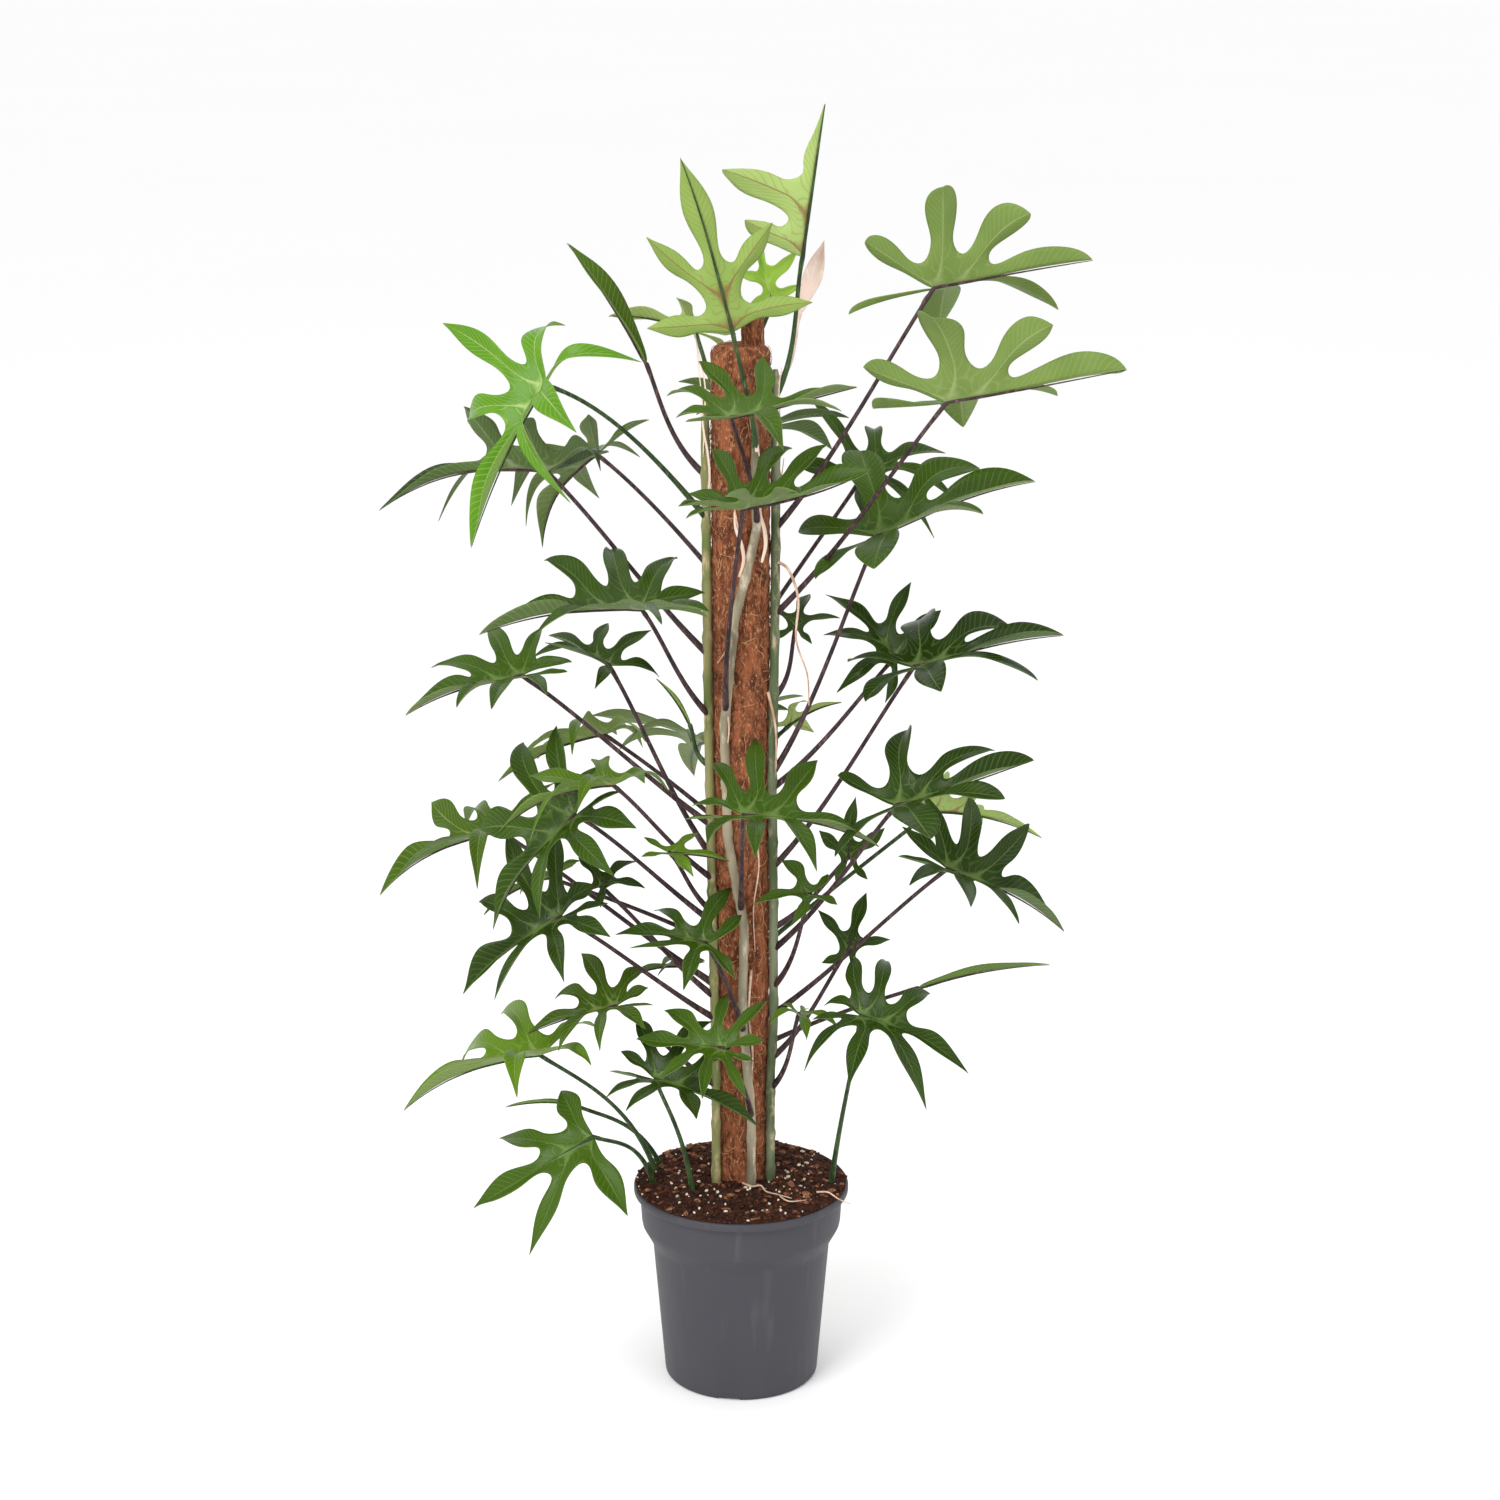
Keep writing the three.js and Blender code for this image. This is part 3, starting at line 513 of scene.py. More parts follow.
def leaf_skin(name, deep, fresh, rib_colour, rough, rib_strength, vein_depth):
    """Leaf surface: ribs and side veins follow the edge_share and along attributes."""
    # Waxy living leaf: two close greens in soft clouds, paler ribs, a satin to glossy skin
    material, tree, shader = new_material(name, roughness=rough, specular=0.15)
    share, along, tint = [
        add_node(tree, "ShaderNodeAttribute", {"attribute_name": key}).outputs["Fac"]
        for key in ("edge_share", "along", "tint")]
    place = add_node(tree, "ShaderNodeTexCoord").outputs["Object"]
    cloud = noise_field(tree, place, 26.0, 3.0)
    tone = maths(tree, "MULTIPLY_ADD", cloud, 0.7, tint)
    green = blend(tree, ramp(tree, tone, 0.25, 1.35), deep, fresh)
    # Side veins leave the rib at a slant
    slant = maths(tree, "MULTIPLY_ADD", share, -0.018, along)
    wave = maths(tree, "SINE", maths(tree, "MULTIPLY", slant, math.tau / (VEIN_GAP * MM)))
    side = ramp(tree, wave, 0.6, 1.0, to_high=0.34)
    veins = maths(tree, "MAXIMUM", ramp(tree, share, 0.0, 0.085, 1.0, 0.0), side)
    veined = blend(tree, maths(tree, "MULTIPLY", veins, rib_strength), green, rib_colour)
    patchy = ramp(tree, cloud, 0.0, 1.0, rough - 0.08, rough + 0.1, "LINEAR")
    tree.links.new(patchy, shader.inputs["Roughness"])
    # Skin cells and puckering between the veins, about 2 mm across
    pucker = noise_field(tree, place, 480.0)
    relief = maths(tree, "MULTIPLY_ADD", pucker, 0.25, veins)
    finish_skin(tree, shader, veined, relief, 0.6, vein_depth)
    return material


# ---- Settings ------------------------------------------------------------------------


class PotSettings(bpy.types.PropertyGroup):
    colour: bpy.props.StringProperty(
        name="Colour", description="sRGB hex colour of the pot", default="#3d3c42")
    wall: bpy.props.FloatProperty(
        name="Wall", description="Wall thickness in millimetres", default=2.0, min=1.0, max=4.0)
    sides: bpy.props.IntProperty(
        name="Sides", description="Steps round the pot", default=96, min=48, max=192)


class GrowthSettings(bpy.types.PropertyGroup):
    blade_thickness: bpy.props.FloatProperty(
        name="Blade thickness", description="Thickness of a leaf blade", default=0.0006,
        unit="LENGTH", min=0.0003, max=0.0013)
    stalk_radius: bpy.props.FloatProperty(
        name="Stalk radius", description="Radius of a leaf stalk at its middle", default=0.0023,
        unit="LENGTH", min=0.001, max=0.004)
    young_green: bpy.props.StringProperty(
        name="Young green", description="sRGB hex colour of the young leaves", default="#78a81a")
    grown_green: bpy.props.StringProperty(
        name="Grown green", description="sRGB hex colour of the grown leaves", default="#395206")
    old_green: bpy.props.StringProperty(
        name="Old green", description="sRGB hex colour of the old leaves", default="#1c2f03")


class GroundSettings(bpy.types.PropertyGroup):
    perlite: bpy.props.IntProperty(
        name="Perlite grains", description="White grains in the soil", default=150, min=0, max=600)
    crumbs: bpy.props.IntProperty(
        name="Crumbs", description="Loose crumbs of bark and peat", default=1100, min=0, max=3000)
    fibres: bpy.props.IntProperty(
        name="Coir fibres", description="Loose fibres on the pole", default=1500, min=0, max=4000)


class StageSettings(bpy.types.PropertyGroup):
    floor_colour: bpy.props.StringProperty(
        name="Floor colour", description="sRGB hex colour of the floor", default="#fafafa")
    key_power: bpy.props.FloatProperty(
        name="Key light", description="Power of the key light in watts", default=85.0, min=0.0)
    fill_power: bpy.props.FloatProperty(
        name="Fill light", description="Power of the fill light in watts", default=12.0, min=0.0)


# ---- Operators: pot and ground -------------------------------------------------------


class PlantPot(bpy.types.Operator):
    """Make the nursery pot"""
    bl_idname = "philodendron.pot"
    bl_label = "Nursery pot"

    def execute(self, context):
        settings = context.scene.philodendron_pot
        wall = settings.wall
        lip_foot = POT_HEIGHT - LIP_DEPTH
        outside = [
            (0, 0), (30, 0), (34, 4), (69, 4), (73, 0), (81.5, 0), (84.2, 0.8), (85.6, 2.6),
            (86.1, 5), (SHOULDER_FOOT_RADIUS - 0.3, SHOULDER_BOTTOM - 5),
            (SHOULDER_FOOT_RADIUS + 0.6, SHOULDER_BOTTOM),
            (SHOULDER_FOOT_RADIUS + 2.6, SHOULDER_BOTTOM + 4),
            (COLLAR_FOOT_RADIUS - 2.8, COLLAR_BOTTOM - 4),
            (COLLAR_FOOT_RADIUS - 0.7, COLLAR_BOTTOM),
            (COLLAR_FOOT_RADIUS + 0.3, COLLAR_BOTTOM + 5), (COLLAR_RADIUS - 0.4, lip_foot - 5),
            (COLLAR_RADIUS, lip_foot - 1), (COLLAR_RADIUS + 1.4, lip_foot),
            (LIP_RADIUS - 1.8, lip_foot), (LIP_RADIUS - 0.5, lip_foot + 0.7),
            (LIP_RADIUS, lip_foot + 2),
            (LIP_RADIUS, POT_HEIGHT - 2), (LIP_RADIUS - 0.6, POT_HEIGHT - 0.6),
            (LIP_RADIUS - 2, POT_HEIGHT),
            (COLLAR_RADIUS - wall + 2, POT_HEIGHT),
            (COLLAR_RADIUS - wall + 0.5, POT_HEIGHT - 0.8),
        ]
        inside = [
            (COLLAR_RADIUS - wall, POT_HEIGHT - 3), (COLLAR_FOOT_RADIUS - wall, COLLAR_BOTTOM),
            (SHOULDER_FOOT_RADIUS - wall, SHOULDER_BOTTOM), (BASE_RADIUS - wall, POT_FLOOR),
            (0, POT_FLOOR),
        ]
        bm = bmesh.new()
        spun(bm, outside + inside, settings.sides)
        # Three notches in the foot let water run out under the pot
        for first in (-100, 20, 140):
            near = direction(first, 0)
            foot = [v for v in bm.verts if 0.071 < v.co.xy.length < 0.0863 and v.co.z < 0.0035
                    and v.co.xy.normalized().dot(near.xy) > math.cos(math.radians(7.6))]
            for vert in foot:
                vert.co.z = 0.004
        add_piece("nursery_pot_moulded", bm, [pot_plastic(settings.colour)],
                  ["nursery_pot"])
        return {"FINISHED"}


class PlantSoil(bpy.types.Operator):
    """Make the soil, its crumbs, bark and perlite"""
    bl_idname = "philodendron.soil"
    bl_label = "Potting soil"

    def execute(self, context):
        settings = context.scene.philodendron_ground
        rng = random.Random(SEED)
        rings = 58
        surface = [(SOIL_EDGE * i / rings, SOIL_TOP) for i in range(rings + 1)]
        wall = [(SOIL_EDGE - 0.5, POT_HEIGHT + 0.1), (SOIL_RADIUS, POT_HEIGHT - 1),
                (SOIL_RADIUS - 3, COLLAR_BOTTOM + 4),
                (SHOULDER_FOOT_RADIUS - 3, SHOULDER_BOTTOM + 1),
                (90, SOIL_FOOT), (0, SOIL_FOOT)]
        bm = bmesh.new()
        spun(bm, surface + wall, 150)
        for vert in bm.verts:
            if vert.co.z > (SOIL_TOP - 1) * MM:
                x, y = vert.co.x / MM, vert.co.y / MM
                vert.co.z = rimmed_height(x, y, math.hypot(x, y)) * MM
        dark = mottled("damp_peat", ("#1e0f0a", "#3a2016", "#69391f"), 420, 0.95, 0.002)
        add_piece("potting_soil_heap", bm, [dark], ["potting_soil"])
        crumb_kinds = (
            ("soil_crumbs", settings.crumbs, (1.1, 3.0), 0.75,
             mottled("peat_crumb", ("#28150e", "#4c2a1c", "#7c4a30"), 260, 0.95, 0.001)),
            ("bark_chips", settings.crumbs // 6, (2.4, 5.0), 0.4,
             mottled("pine_bark", ("#5a3322", "#87563a", "#bb9270"), 300, 0.85, 0.0008)),
            ("perlite_grains", settings.perlite, (0.9, 2.2), 0.85,
             mottled("expanded_perlite", ("#cdbfa8", "#e9dfcc", "#f8f2e4"), 700, 0.7, 0.0006)),
        )
        for name, count, sizes, flatness, material in crumb_kinds:
            bm = bmesh.new()
            for _ in range(count):
                radius = SOIL_EDGE * math.sqrt(rng.random())
                angle = rng.uniform(0, 360)
                size = rng.uniform(*sizes) * MM
                spot = on_axis(angle, radius, 0)
                x, y = spot.x / MM, spot.y / MM
                if math.hypot(x, y) < POLE_RADIUS + 2:
                    continue
                spot.z = rimmed_height(x, y, radius) * MM + size * flatness * 0.3
                turn = Matrix.Rotation(rng.uniform(0, math.tau), 4, "Z")
                tilt = Matrix.Rotation(rng.uniform(-0.6, 0.6), 4, "X")
                shape = Matrix.Diagonal((size * rng.uniform(0.9, 1.6), size * rng.uniform(0.6, 1),
                                         size * flatness, 1))
                grain = bmesh.ops.create_icosphere(
                    bm, subdivisions=1, radius=1,
                    matrix=Matrix.Translation(spot) @ turn @ tilt @ shape)
                for vert in grain["verts"]:
                    vert.co += Vector([rng.uniform(-0.22, 0.22) * size for _ in range(3)])
            piece = add_piece(name, bm, [material])
            piece.data.shade_flat()
        return {"FINISHED"}


class PlantPole(bpy.types.Operator):
    """Make the coir pole, its core and its loose fibres"""
    bl_idname = "philodendron.pole"
    bl_label = "Coir pole"

    def execute(self, context):
        settings = context.scene.philodendron_ground
        rng = random.Random(SEED + 1)
        coir = mottled("needled_coir", ("#5e3220", "#96593a", "#c9966c"), 420, 0.95, 0.0026,
                       stretch=(1, 1, 0.45))
        bottom = SOIL_TOP - 25
        count = 330
        wall = [(POLE_RADIUS - 0.2, bottom + (POLE_TOP - 9 - bottom) * i / count)
                for i in range(count + 1)]
        top = [(POLE_RADIUS - 2.5, POLE_TOP - 5), (POLE_RADIUS - 6, POLE_TOP - 1.5),
               (POLE_RADIUS - 14, POLE_TOP), (0, POLE_TOP)]
        bm = bmesh.new()
        spun(bm, [(0, bottom), *wall, *top], 120)
        self.roughen(bm, (0, 0), 1.5)
        add_piece("coir_sleeve_fibrous", bm, [coir], ["coir_sleeve"])
        bm = bmesh.new()
        core = [(12.2, POLE_TOP - 12 + 3 * i) for i in range(15)]
        spun(bm, [(0, POLE_TOP - 15), *core, (10.5, POLE_TOP + 34), (7, POLE_TOP + 38),
                  (0, POLE_TOP + 39.5)], 48)
        bmesh.ops.translate(bm, verts=bm.verts, vec=(CORE_OFFSET * MM, 0, 0))
        self.roughen(bm, (CORE_OFFSET, 0), 1.0)
        add_piece("pole_core_coir", bm, [coir], ["pole_core"])
        tones = (
            ("coir_fibres_red", "#8a4c2e", settings.fibres // 2),
            ("coir_fibres_tan", "#c4946a", settings.fibres // 4),
            ("coir_fibres_dark", "#51291a", settings.fibres // 4),
        )
        for name, colour, number in tones:
            # Single coconut fibres, drawn a little coarse so that they show
            skin = mottled(name + "_strand", (colour, colour, "#d8ac80"), 500, 0.8, 0.0003)
            curve = bpy.data.curves.new(name, "CURVE")
            curve.dimensions = "3D"
            curve.bevel_depth = FIBRE_RADIUS * MM
            curve.bevel_resolution = 0
            curve.use_fill_caps = True
            for _ in range(number):
                angle, height = rng.uniform(0, 360), rng.uniform(SOIL_TOP + 2, POLE_TOP - 4)
                heading, span = rng.gauss(90, 55), rng.uniform(8, 26)
                loose = rng.uniform(0.6, 3.4)
                points = []
                for k in range(5):
                    t = k / 4
                    away = POLE_RADIUS - 0.9 + loose * 4 * t * (1 - t)
                    run = span * (t - 0.5)
                    heading += rng.uniform(-16, 16)
                    step = math.radians(heading)
                    around = angle + math.degrees(run * math.cos(step) / POLE_RADIUS)
                    points.append(on_axis(around, away,
                                          min(height + run * math.sin(step), POLE_TOP - 1)))
                spline = curve.splines.new("POLY")
                spline.points.add(len(points) - 1)
                for point, spot in zip(spline.points, points):
                    point.co = (*spot, 1)
            source = bpy.data.objects.new(name + "_curve", curve)
            mesh = bpy.data.meshes.new_from_object(source)
            bpy.data.objects.remove(source)
            bm = bmesh.new()
            bm.from_mesh(mesh)
            bpy.data.meshes.remove(mesh)
            add_piece(name, bm, [skin])
        return {"FINISHED"}

    @staticmethod
    def roughen(bm, axis, depth):
        """Pushes the surface in and out by tufts a few millimetres across."""
        for vert in bm.verts:
            away = Vector((vert.co.x - axis[0] * MM, vert.co.y - axis[1] * MM, 0))
            if away.length < 1e-5:
                continue
            place = vert.co / MM
            tufts = noise.noise(Vector((place.x / 4, place.y / 4, place.z / 7)))
            lumps = noise.noise(Vector((place.x / 16 + 9, place.y / 16, place.z / 22)))
            vert.co += away.normalized() * (tufts * 0.9 + lumps * 0.7) * depth * MM


# ---- Operators: stems, leaves and roots ----------------------------------------------


class PlantStems(bpy.types.Operator):
    """Make the climbing stems with their rings and knots"""
    bl_idname = "philodendron.stems"
    bl_label = "Climbing stems"

    def execute(self, context):
        rng = random.Random(SEED + 2)
        # Corky green bark: grey-green with pale mottling, on a stem ringed where old leaves dropped
        # off
        skin = mottled("corky_stem", ("#4c5a3a", "#80866a", "#b3a488"), 110, 0.65, 0.0006,
                       stretch=(1, 1, 0.35), bump_scale=260)
        # The rooted front stem is older: bleached grey-beige cork
        bleached = mottled("bleached_stem", ("#6b6350", "#a39880", "#cdbfa8"), 110, 0.7, 0.0007,
                           stretch=(1, 1, 0.3), bump_scale=260)
        young = mottled("green_stem", ("#5f6e38", "#8f8a5c", "#c4ae88"), 100, 0.55, 0.0005,
                        stretch=(1, 1, 0.3), bump_scale=240)
        for name, stations in STEMS.items():
            bottom, top = SOIL_TOP - 30, POLE_TOP + stations[-1][0]
            count = int((top - bottom) / 7)
            knots = [bottom + 40]
            while knots[-1] < top - 50:
                knots.append(knots[-1] + rng.uniform(42, 74))
            path, sections = [], []
            for i in range(count + 1):
                height = bottom + (top - bottom) * i / count
                point = stem_point(name, height)
                sway = noise.noise(Vector((height / 90, len(path), 3))) * 0.4
                swell = sum(math.exp(-((height - k) / 5.5) ** 2) for k in knots)
                ring = sum(math.exp(-((height - k - 7) / 2.5) ** 2) for k in knots)
                radius = (STEM_RADIUS - 0.5 + swell * 1.1 - ring * 0.5 + sway) * MM
                radius *= 1 - 0.45 * max(0, (height - top + 60) / 60) ** 2
                path.append(point)
                sections.append((radius, radius))
            bark = {"left": young, "front": bleached}.get(name, skin)
            add_tube_piece("stem_" + name, path, sections, 14, bark, "stem",
                           ["climbing_stem_" + name])
        return {"FINISHED"}


class PlantLeaves(bpy.types.Operator):
    """Make the leaves, each a lobed blade on its stalk"""
    bl_idname = "philodendron.leaves"
    bl_label = "Leaves"

    def execute(self, context):
        settings = context.scene.philodendron_growth
        self.settings = settings
        # A leaf's two faces by age, and last the fresh glossy one of the newest grown leaf
        uppers = (
            leaf_skin("leaf_young_upper", settings.young_green, "#9cc04c", "#c3d68a", 0.42, 0.5,
                      0.0005),
            leaf_skin("leaf_grown_upper", settings.grown_green, "#587a14", "#96a860", 0.3, 0.5,
                      0.0012),
            leaf_skin("leaf_old_upper", settings.old_green, "#3b570a", "#748c4c", 0.28, 0.5,
                      0.0012),
            leaf_skin("leaf_fresh_upper", "#4e7e10", "#8cb63a", "#bccc88", 0.24, 0.5, 0.0012),
        )
        unders = (
            leaf_skin("leaf_young_under", "#7a9444", "#9cb268", "#7c4a38", 0.55, 0.75, 0.0005),
            leaf_skin("leaf_grown_under", "#4f6a28", "#728844", "#98a670", 0.55, 0.6, 0.0006),
            leaf_skin("leaf_old_under", "#4a6030", "#6c7e4a", "#949e76", 0.55, 0.6, 0.0006),
            leaf_skin("leaf_fresh_under", "#749a3c", "#a0b868", "#bccc94", 0.5, 0.5, 0.0006),
        )
        # Leaf stalks: dark purple-brown skin on grown leaves, green on those from the soil
        stalk_dark, stalk_green = [
            mottled(name, tones, 300, 0.45, 0.0002, stretch=(1, 1, 0.25)) for name, tones in (
                ("stalk_purple_brown", ("#2b1d20", "#453134", "#6f5650")),
                ("stalk_green", ("#22341a", "#37502a", "#626f44")))]
        for i, row in enumerate(LEAVES):
            age = row[8]
            stalk = stalk_green if row[0] == "soil" or age == 0 else stalk_dark
            node = f"leaf_{i + 1:02d}"
            rng = random.Random(SEED * 100 + i)
            face = 3 if row[6] == "curled" else age
            self.leaf(node, row, (uppers[face], unders[face]), stalk,
                      ("leaf_young", "leaf_mid", "leaf_dark")[age], rng)
        # The papery sheath that the tallest leaf came out of
        paper = mottled("dry_sheath_paper", ("#d3b0a2", "#e6cdc2", "#f4e6df"), 110, 0.7, 0.0004,
                        stretch=(1, 1, 0.2))
        self.leaf("dried_sheath", SHEATH, (paper, paper), paper, "dry_sheath", random.Random(SEED))
        return {"FINISHED"}

    def leaf(self, node, row, faces, stalk_skin, slot, rng):
        carrier, _, hub_place, tip, face, size, form_name, _, _ = row
        form = FORMS[form_name]
        level = SOIL_TOP if carrier == "soil" else POLE_TOP
        out = Vector((hub_place[0], hub_place[1], 0))
        hub = out.normalized() * (out.length + POLE_RADIUS) * MM
        hub.z = (level + hub_place[2]) * MM
        along = direction(*tip)
        up = direction(*face)
        up = (up - along * up.dot(along)).normalized()
        basis = Matrix((along, up.cross(along), up)).transposed().to_4x4()
        to_plant = Matrix.Translation(hub) @ basis
        bm = bmesh.new()
        midrib = self.blade(bm, form, size * MM, to_plant, rng)
        bmesh.ops.recalc_face_normals(bm, faces=bm.faces)
        if sum(f.normal.dot(up) for f in bm.faces) < 0:
            bmesh.ops.reverse_faces(bm, faces=bm.faces)
        blade = add_piece(node + "_blade", bm, faces, [node])
        rounding = blade.modifiers.new("rounding", "SUBSURF")
        rounding.levels = rounding.render_levels = 2
        thick = blade.modifiers.new("thickness", "SOLIDIFY")
        thick.thickness = self.settings.blade_thickness
        thick.offset = -1
        thick.material_offset = thick.material_offset_rim = 1
        self.stalk(node, row, hub, up, midrib, stalk_skin, slot)

    def blade(self, bm, form, size, to_plant, rng):
        """Grows the blade's cage round the hub; returns the midrib's points."""
        share = bm.verts.layers.float.new("edge_share")
        run = bm.verts.layers.float.new("along")
        tint = bm.verts.layers.float.new("tint")
        crease = bm.edges.layers.float.new("crease_edge")
        sharp = bm.verts.layers.float.new("crease_vert")
        leaf_tint = rng.random()
        leans = [lean + rng.uniform(-LEAN_SPREAD, LEAN_SPREAD) for lean in form["lean"]]

        def settle(vert, spot, on_rib, lift=0.0):
            u, w = spot
            bend = (-form["droop"] if u > 0 else form["perk"]) * u * u
            rise = form["fold"] * abs(w) - form["sag"] * w * w + bend + lift
            lean = leans[0 if w > 0 else 1]
            rise += abs(w) * math.sin(lean)
            w *= math.cos(lean)
            vert.co = to_plant @ (Vector((u, w, rise)) * size)
            vert[share] = 0 if on_rib else 1
            vert[run] = math.dist((0, 0), spot) * size
            vert[tint] = leaf_tint
            return vert

        def fresh(spot, on_rib):
            return settle(bm.verts.new(), spot, on_rib, -RIB_SINK if on_rib else 0.0)

        spine = [fresh((u, 0), True) for u in form["spine"]]
        crown = fresh((form["crown"], 0), True)
        lobes = form["lobes"]
        midrib = [spine[0].co.copy(), *[v.co.copy() for v in spine[1:]], crown.co.copy()]
        last_sinuses = []
        for side in (1, -1):
            sinuses = [fresh((u, w * side), False) for u, w in form["sinuses"]]
            ribs = [fresh((root[0], root[1] * side), True) for _, root, _, _ in lobes] + [crown]
            bases = [base for base, *_ in lobes] + [len(spine) - 1]
            bm.faces.new([spine[0], sinuses[0], ribs[0]][::side])
            for k in range(len(lobes)):
                back_along = spine[bases[k]:bases[k + 1] + 1][::-1]
                bm.faces.new([ribs[k], sinuses[k + 1], ribs[k + 1], *back_along][::side])
            for k, (_, root, tip, width) in enumerate(lobes):
                start, reach = Vector((root[0], root[1] * side)), Vector((tip[0], tip[1] * side))
                reach = (reach - start) * rng.uniform(0.8, 1.06)
                reach.rotate(Matrix.Rotation(rng.uniform(-0.2, 0.2), 2))
                self.lobe(bm, settle, [sinuses[k], ribs[k], sinuses[k + 1]], [start, start + reach],
                          width * rng.uniform(0.8, 1.2), form["nod"] * rng.uniform(-0.2, 1.9),
                          LOBE_EDGES[form["edge"]], rng, sharp)
            last_sinuses.append(sinuses[-1])
        ends = [Vector((form["crown"], 0)), Vector((1, 0))]
        midrib += self.lobe(bm, settle, [last_sinuses[0], crown, last_sinuses[1]], ends,
                            form["end_width"], form["nod"] * rng.uniform(0, 0.5),
                            LOBE_EDGES[form["edge"]], rng, sharp)
        for edge in bm.edges:
            if edge.verts[0][share] == 0 and edge.verts[1][share] == 0:
                edge[crease] = RIB_CREASE
        return midrib

    @staticmethod
    def lobe(bm, settle, rail, ends, width, nod, edge, rng, sharp):
        """Extrudes one lobe from its three palm vertices to its tip."""
        root, tip = ends
        axis = tip - root
        across = Vector((-axis.y, axis.x)).normalized()
        curl = rng.uniform(-0.2, 0.2)
        twist = rng.uniform(-0.8, 0.8)
        gutter = rng.uniform(0.15, 0.6)
        rib_points = []
        side = None
        for t, wide in (*edge, (1, 0)):
            edges = [bm.edges.get((rail[0], rail[1])), bm.edges.get((rail[1], rail[2]))]
            grown = bmesh.ops.extrude_edge_only(bm, edges=edges)["geom"]
            new = {g for g in grown if isinstance(g, bmesh.types.BMVert)}
            rail = [next(e.other_vert(v) for e in v.link_edges if e.other_vert(v) in new)
                    for v in rail]
            spot = root + axis * t + across * curl * axis.length * t * t
            if side is None:
                before = rail[0].co - rail[2].co
                side = 1
                trial = settle(rail[0], spot + across * width, False).co.copy()
                other = settle(rail[2], spot - across * width, False).co.copy()
                if (trial - other).dot(before) < 0:
                    side = -1
            half = width * wide
            hang = -nod * axis.length * t ** 2.4
            for vert, way in zip(rail, (side, 0, -side)):
                if way:
                    wave = rng.uniform(-0.01, 0.01) + gutter * half + twist * half * way * t
                    settle(vert, spot + across * half * way, False,
                           hang + wave * (1 if wide else 0))
                else:
                    settle(vert, spot, True, hang - RIB_SINK)
            rib_points.append(rail[1].co.copy())
        end = rail[1]
        bmesh.ops.pointmerge(bm, verts=[end, rail[0], rail[2]], merge_co=end.co)
        end[sharp] = TIP_CREASE
        return rib_points

    def stalk(self, node, row, hub, up, midrib, skin, slot):
        """The stalk, from its stem or the soil to the hub, and on as the rib under the blade."""
        carrier, place, _, _, _, _, _, arch, _ = row
        if carrier == "soil":
            root = on_axis(place[0], SOIL_RADIUS - place[1], SOIL_TOP - STALK_DEPTH)
            push = Vector((0, 0, SOIL_STALK_PUSH * MM))
        else:
            root = stem_point(carrier, POLE_TOP + place)
            push = Vector((root.x, root.y, 0)).normalized() * STALK_PUSH * MM
        reach = hub - root
        lift = Vector((0, 0, 1)) - reach * reach.z / reach.length_squared
        lift = lift.normalized() * arch * MM
        low = root + reach * STALK_BENDS[0] + push + lift
        high = root + reach * STALK_BENDS[1] + lift
        end = hub - up * 0.0012
        radius = self.settings.stalk_radius
        path, sections = [], []
        for i in range(STALK_STEPS + 1):
            t = i / STALK_STEPS
            s = 1 - t
            path.append(root * s ** 3 + low * 3 * s * s * t + high * 3 * s * t * t + end * t ** 3)
            thick = radius * (1 + 0.7 * s ** 4) + 0.0006 * math.exp(-((t - 0.97) / 0.04) ** 2)
            sections.append((thick, thick))
        under = smooth_curve([end, *[p - up * 0.0011 for p in midrib[1:]]], 2)
        for i, point in enumerate(under[1:]):
            left = 1 - (i + 1) / len(under)
            path.append(point)
            sections.append((0.0015 * left + 0.0003, 0.0013 * left + 0.0002))
        add_tube_piece(node + "_stalk", path, sections, 8, skin, slot)


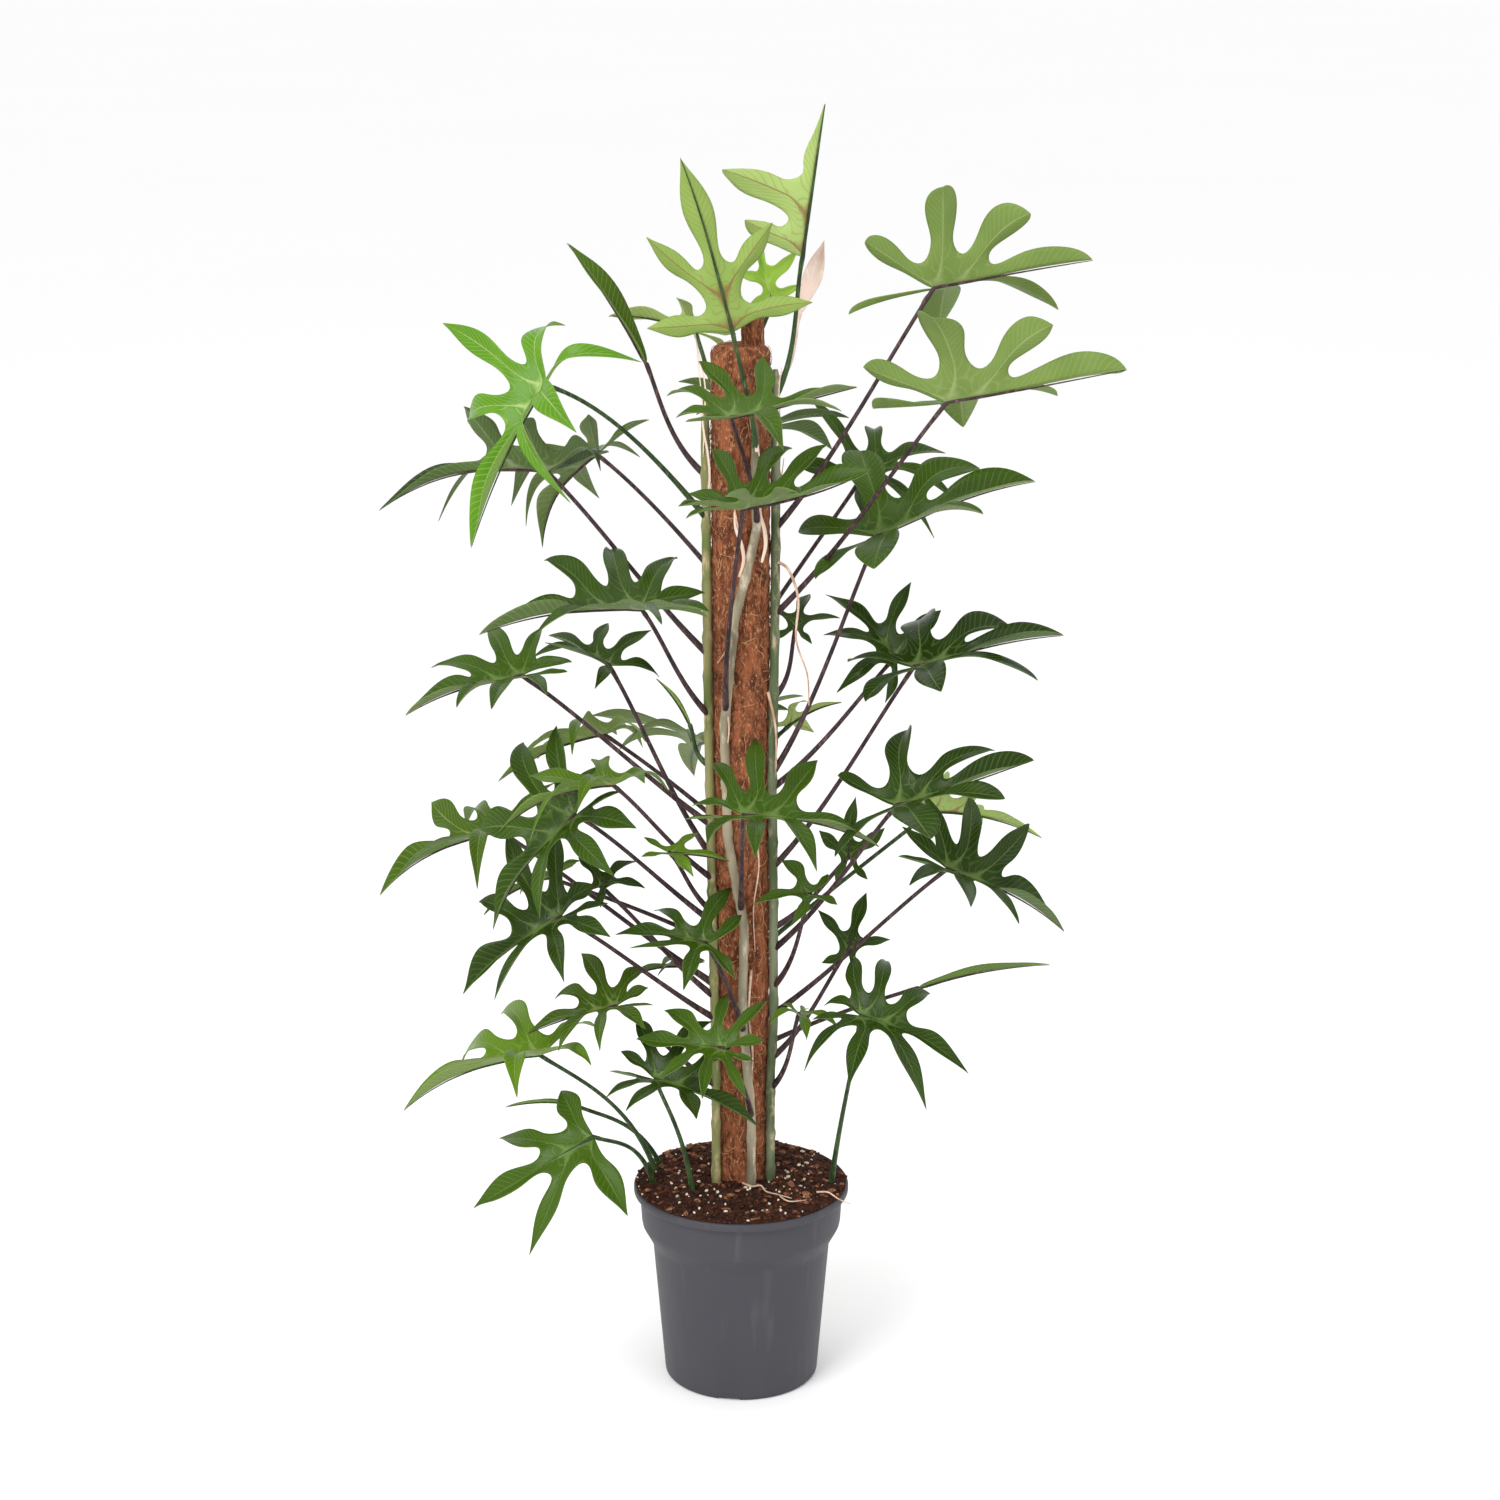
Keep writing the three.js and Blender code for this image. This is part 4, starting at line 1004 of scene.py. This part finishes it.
class PlantRoots(bpy.types.Operator):
    """Make the aerial roots, the roots on the soil and the dry strips"""
    bl_idname = "philodendron.roots"
    bl_label = "Roots and dry strips"

    def execute(self, context):
        rng = random.Random(SEED + 3)
        # Dead roots: a dry pinkish-beige skin with a wrinkled grain
        skin = mottled("dry_root_skin", ("#b08c74", "#d8b8a2", "#ecd8c8"), 180, 0.75, 0.0005)
        start = stem_point("right", POLE_TOP - 230)
        hanging = ((0, 0, -230), (14, -12, -238), (24, -20, -268), (22, -18, -312), (34, -18, -350),
                   (36, -14, -385))
        routes = [[Vector((start.x + x * MM, start.y + y * MM, (POLE_TOP + h) * MM))
                   for x, y, h in hanging]]
        routes += [[on_axis(a, POLE_RADIUS + off, SOIL_TOP + h) for a, h, off in root]
                   for root in CLINGING_ROOTS]
        routes += [[Vector((x, y, soil_height(x, y) + off)) * MM for x, y, off in root]
                   for root in SOIL_ROOTS]
        names = ["aerial_root_dry"] + [f"clinging_root_{i + 1}" for i in range(len(CLINGING_ROOTS))]
        names += [f"soil_root_{i + 1}" for i in range(len(SOIL_ROOTS))]
        for name, route in zip(names, routes):
            path = smooth_curve(route, 7)
            thick = (2.1 if name.startswith("aerial") else rng.uniform(1.2, 1.8)) * MM
            sections = []
            for i in range(len(path)):
                t = i / (len(path) - 1)
                lumps = noise.noise(Vector((i * 0.7, thick / MM, 0)))
                wide = thick * (1 - 0.6 * t) * (1 + 0.18 * lumps)
                sections.append((wide, wide * 0.85))
            add_tube_piece(name, path, sections, 8, skin, "dry_sheath",
                           ["aerial_root"] if name.startswith("aerial") else ())
        paper = mottled("dry_strip_paper", ("#cdab92", "#e8d0bd", "#f6ebe0"), 130, 0.7, 0.0004,
                        stretch=(1, 1, 0.15))
        for i, (angle, bottom, length, width, lean) in enumerate(DRY_STRIPS):
            route = [on_axis(angle + 7 * math.sin(k * 1.3),
                             POLE_RADIUS + 9 + lean * (k / 4) ** 2 * 1.5,
                             POLE_TOP + bottom + length * k / 4) for k in range(5)]
            path = smooth_curve(route, 5)
            sections = []
            for k in range(len(path)):
                t = k / (len(path) - 1)
                half = width / 2 * MM * (0.35 + 0.65 * math.sin(math.pi * min(1, 0.15 + t * 0.85)))
                sections.append((half, 0.45 * MM))
            add_tube_piece(f"dry_strip_{i + 1}", path, sections, 10, paper, "dry_sheath",
                           side_hint=direction(angle, 0))
        return {"FINISHED"}


class PlantStage(bpy.types.Operator):
    """Make the floor, the lights and the camera"""
    bl_idname = "philodendron.stage"
    bl_label = "Stage"

    def execute(self, context):
        settings = context.scene.philodendron_stage
        scene = context.scene
        bm = bmesh.new()
        bmesh.ops.create_grid(bm, x_segments=1, y_segments=1, size=60)
        mesh = bpy.data.meshes.new("floor")
        bm.to_mesh(mesh)
        bm.free()
        material, tree, shader = new_material("studio_floor_paper", roughness=0.9)
        place = add_node(tree, "ShaderNodeTexCoord").outputs["Object"]
        tone = blend(tree, noise_field(tree, place, 0.4), settings.floor_colour, "#f8f8f8")
        tree.links.new(tone, shader.inputs["Base Color"])
        mesh.materials.append(material)
        floor = bpy.data.objects.new("floor", mesh)
        scene.collection.objects.link(floor)
        world = bpy.data.worlds.new("studio_air")
        world.use_nodes = True
        sky = world.node_tree.nodes["Background"]
        sky.inputs["Color"].default_value = (1, 1, 1, 1)
        sky.inputs["Strength"].default_value = AIR_STRENGTH
        scene.world = world
        lights = (
            ("key_softbox", (-1.7, -2.4, 2.9), 1.8, settings.key_power),
            ("fill_softbox", (2.3, -1.9, 1.7), 1.6, settings.fill_power),
            ("top_softbox", (0.3, 0.5, 3.4), 1.6, settings.fill_power),
        )
        for name, spot, size, power in lights:
            light = bpy.data.lights.new(name, "AREA")
            light.size = size
            light.energy = power
            lamp = bpy.data.objects.new(name, light)
            lamp.location = spot
            aim = Vector(LIGHTS_AIM) - Vector(spot)
            lamp.rotation_euler = aim.to_track_quat("-Z", "Y").to_euler()
            scene.collection.objects.link(lamp)
        camera = bpy.data.cameras.new("studio_camera")
        camera.lens = CAMERA_LENS
        camera.sensor_width = 36
        camera.clip_end = 200
        eye = bpy.data.objects.new("studio_camera", camera)
        eye.location = CAMERA_PLACE
        eye.rotation_euler = (math.radians(90 - CAMERA_PITCH), 0, 0)
        scene.collection.objects.link(eye)
        scene.camera = eye
        scene.view_settings.view_transform = "Standard"
        return {"FINISHED"}


# ---- Panel and start -----------------------------------------------------------------

STEPS = (PlantPot, PlantSoil, PlantPole, PlantStems, PlantLeaves, PlantRoots, PlantStage)
SETTINGS = (
    ("philodendron_pot", PotSettings),
    ("philodendron_growth", GrowthSettings),
    ("philodendron_ground", GroundSettings),
    ("philodendron_stage", StageSettings),
)


class PlantPanel(bpy.types.Panel):
    """Settings and steps of the potted philodendron"""
    bl_idname = "VIEW3D_PT_philodendron"
    bl_label = "Philodendron"
    bl_space_type = "VIEW_3D"
    bl_region_type = "UI"
    bl_category = "Philodendron"

    def draw(self, context):
        for name, group in SETTINGS:
            box = self.layout.box()
            for key in group.__annotations__:
                box.prop(getattr(context.scene, name), key)
        for step in STEPS:
            self.layout.operator(step.bl_idname)


def register():
    for name, group in SETTINGS:
        bpy.utils.register_class(group)
        setattr(bpy.types.Scene, name, bpy.props.PointerProperty(type=group))
    for cls in (*STEPS, PlantPanel):
        bpy.utils.register_class(cls)


def unregister():
    for cls in (PlantPanel, *reversed(STEPS)):
        bpy.utils.unregister_class(cls)
    for name, group in reversed(SETTINGS):
        delattr(bpy.types.Scene, name)
        bpy.utils.unregister_class(group)


def main():
    register()
    bpy.ops.philodendron.pot()
    bpy.ops.philodendron.soil()
    bpy.ops.philodendron.pole()
    bpy.ops.philodendron.stems()
    bpy.ops.philodendron.leaves()
    bpy.ops.philodendron.roots()
    bpy.ops.philodendron.stage()


if __name__ == "__main__":
    main()
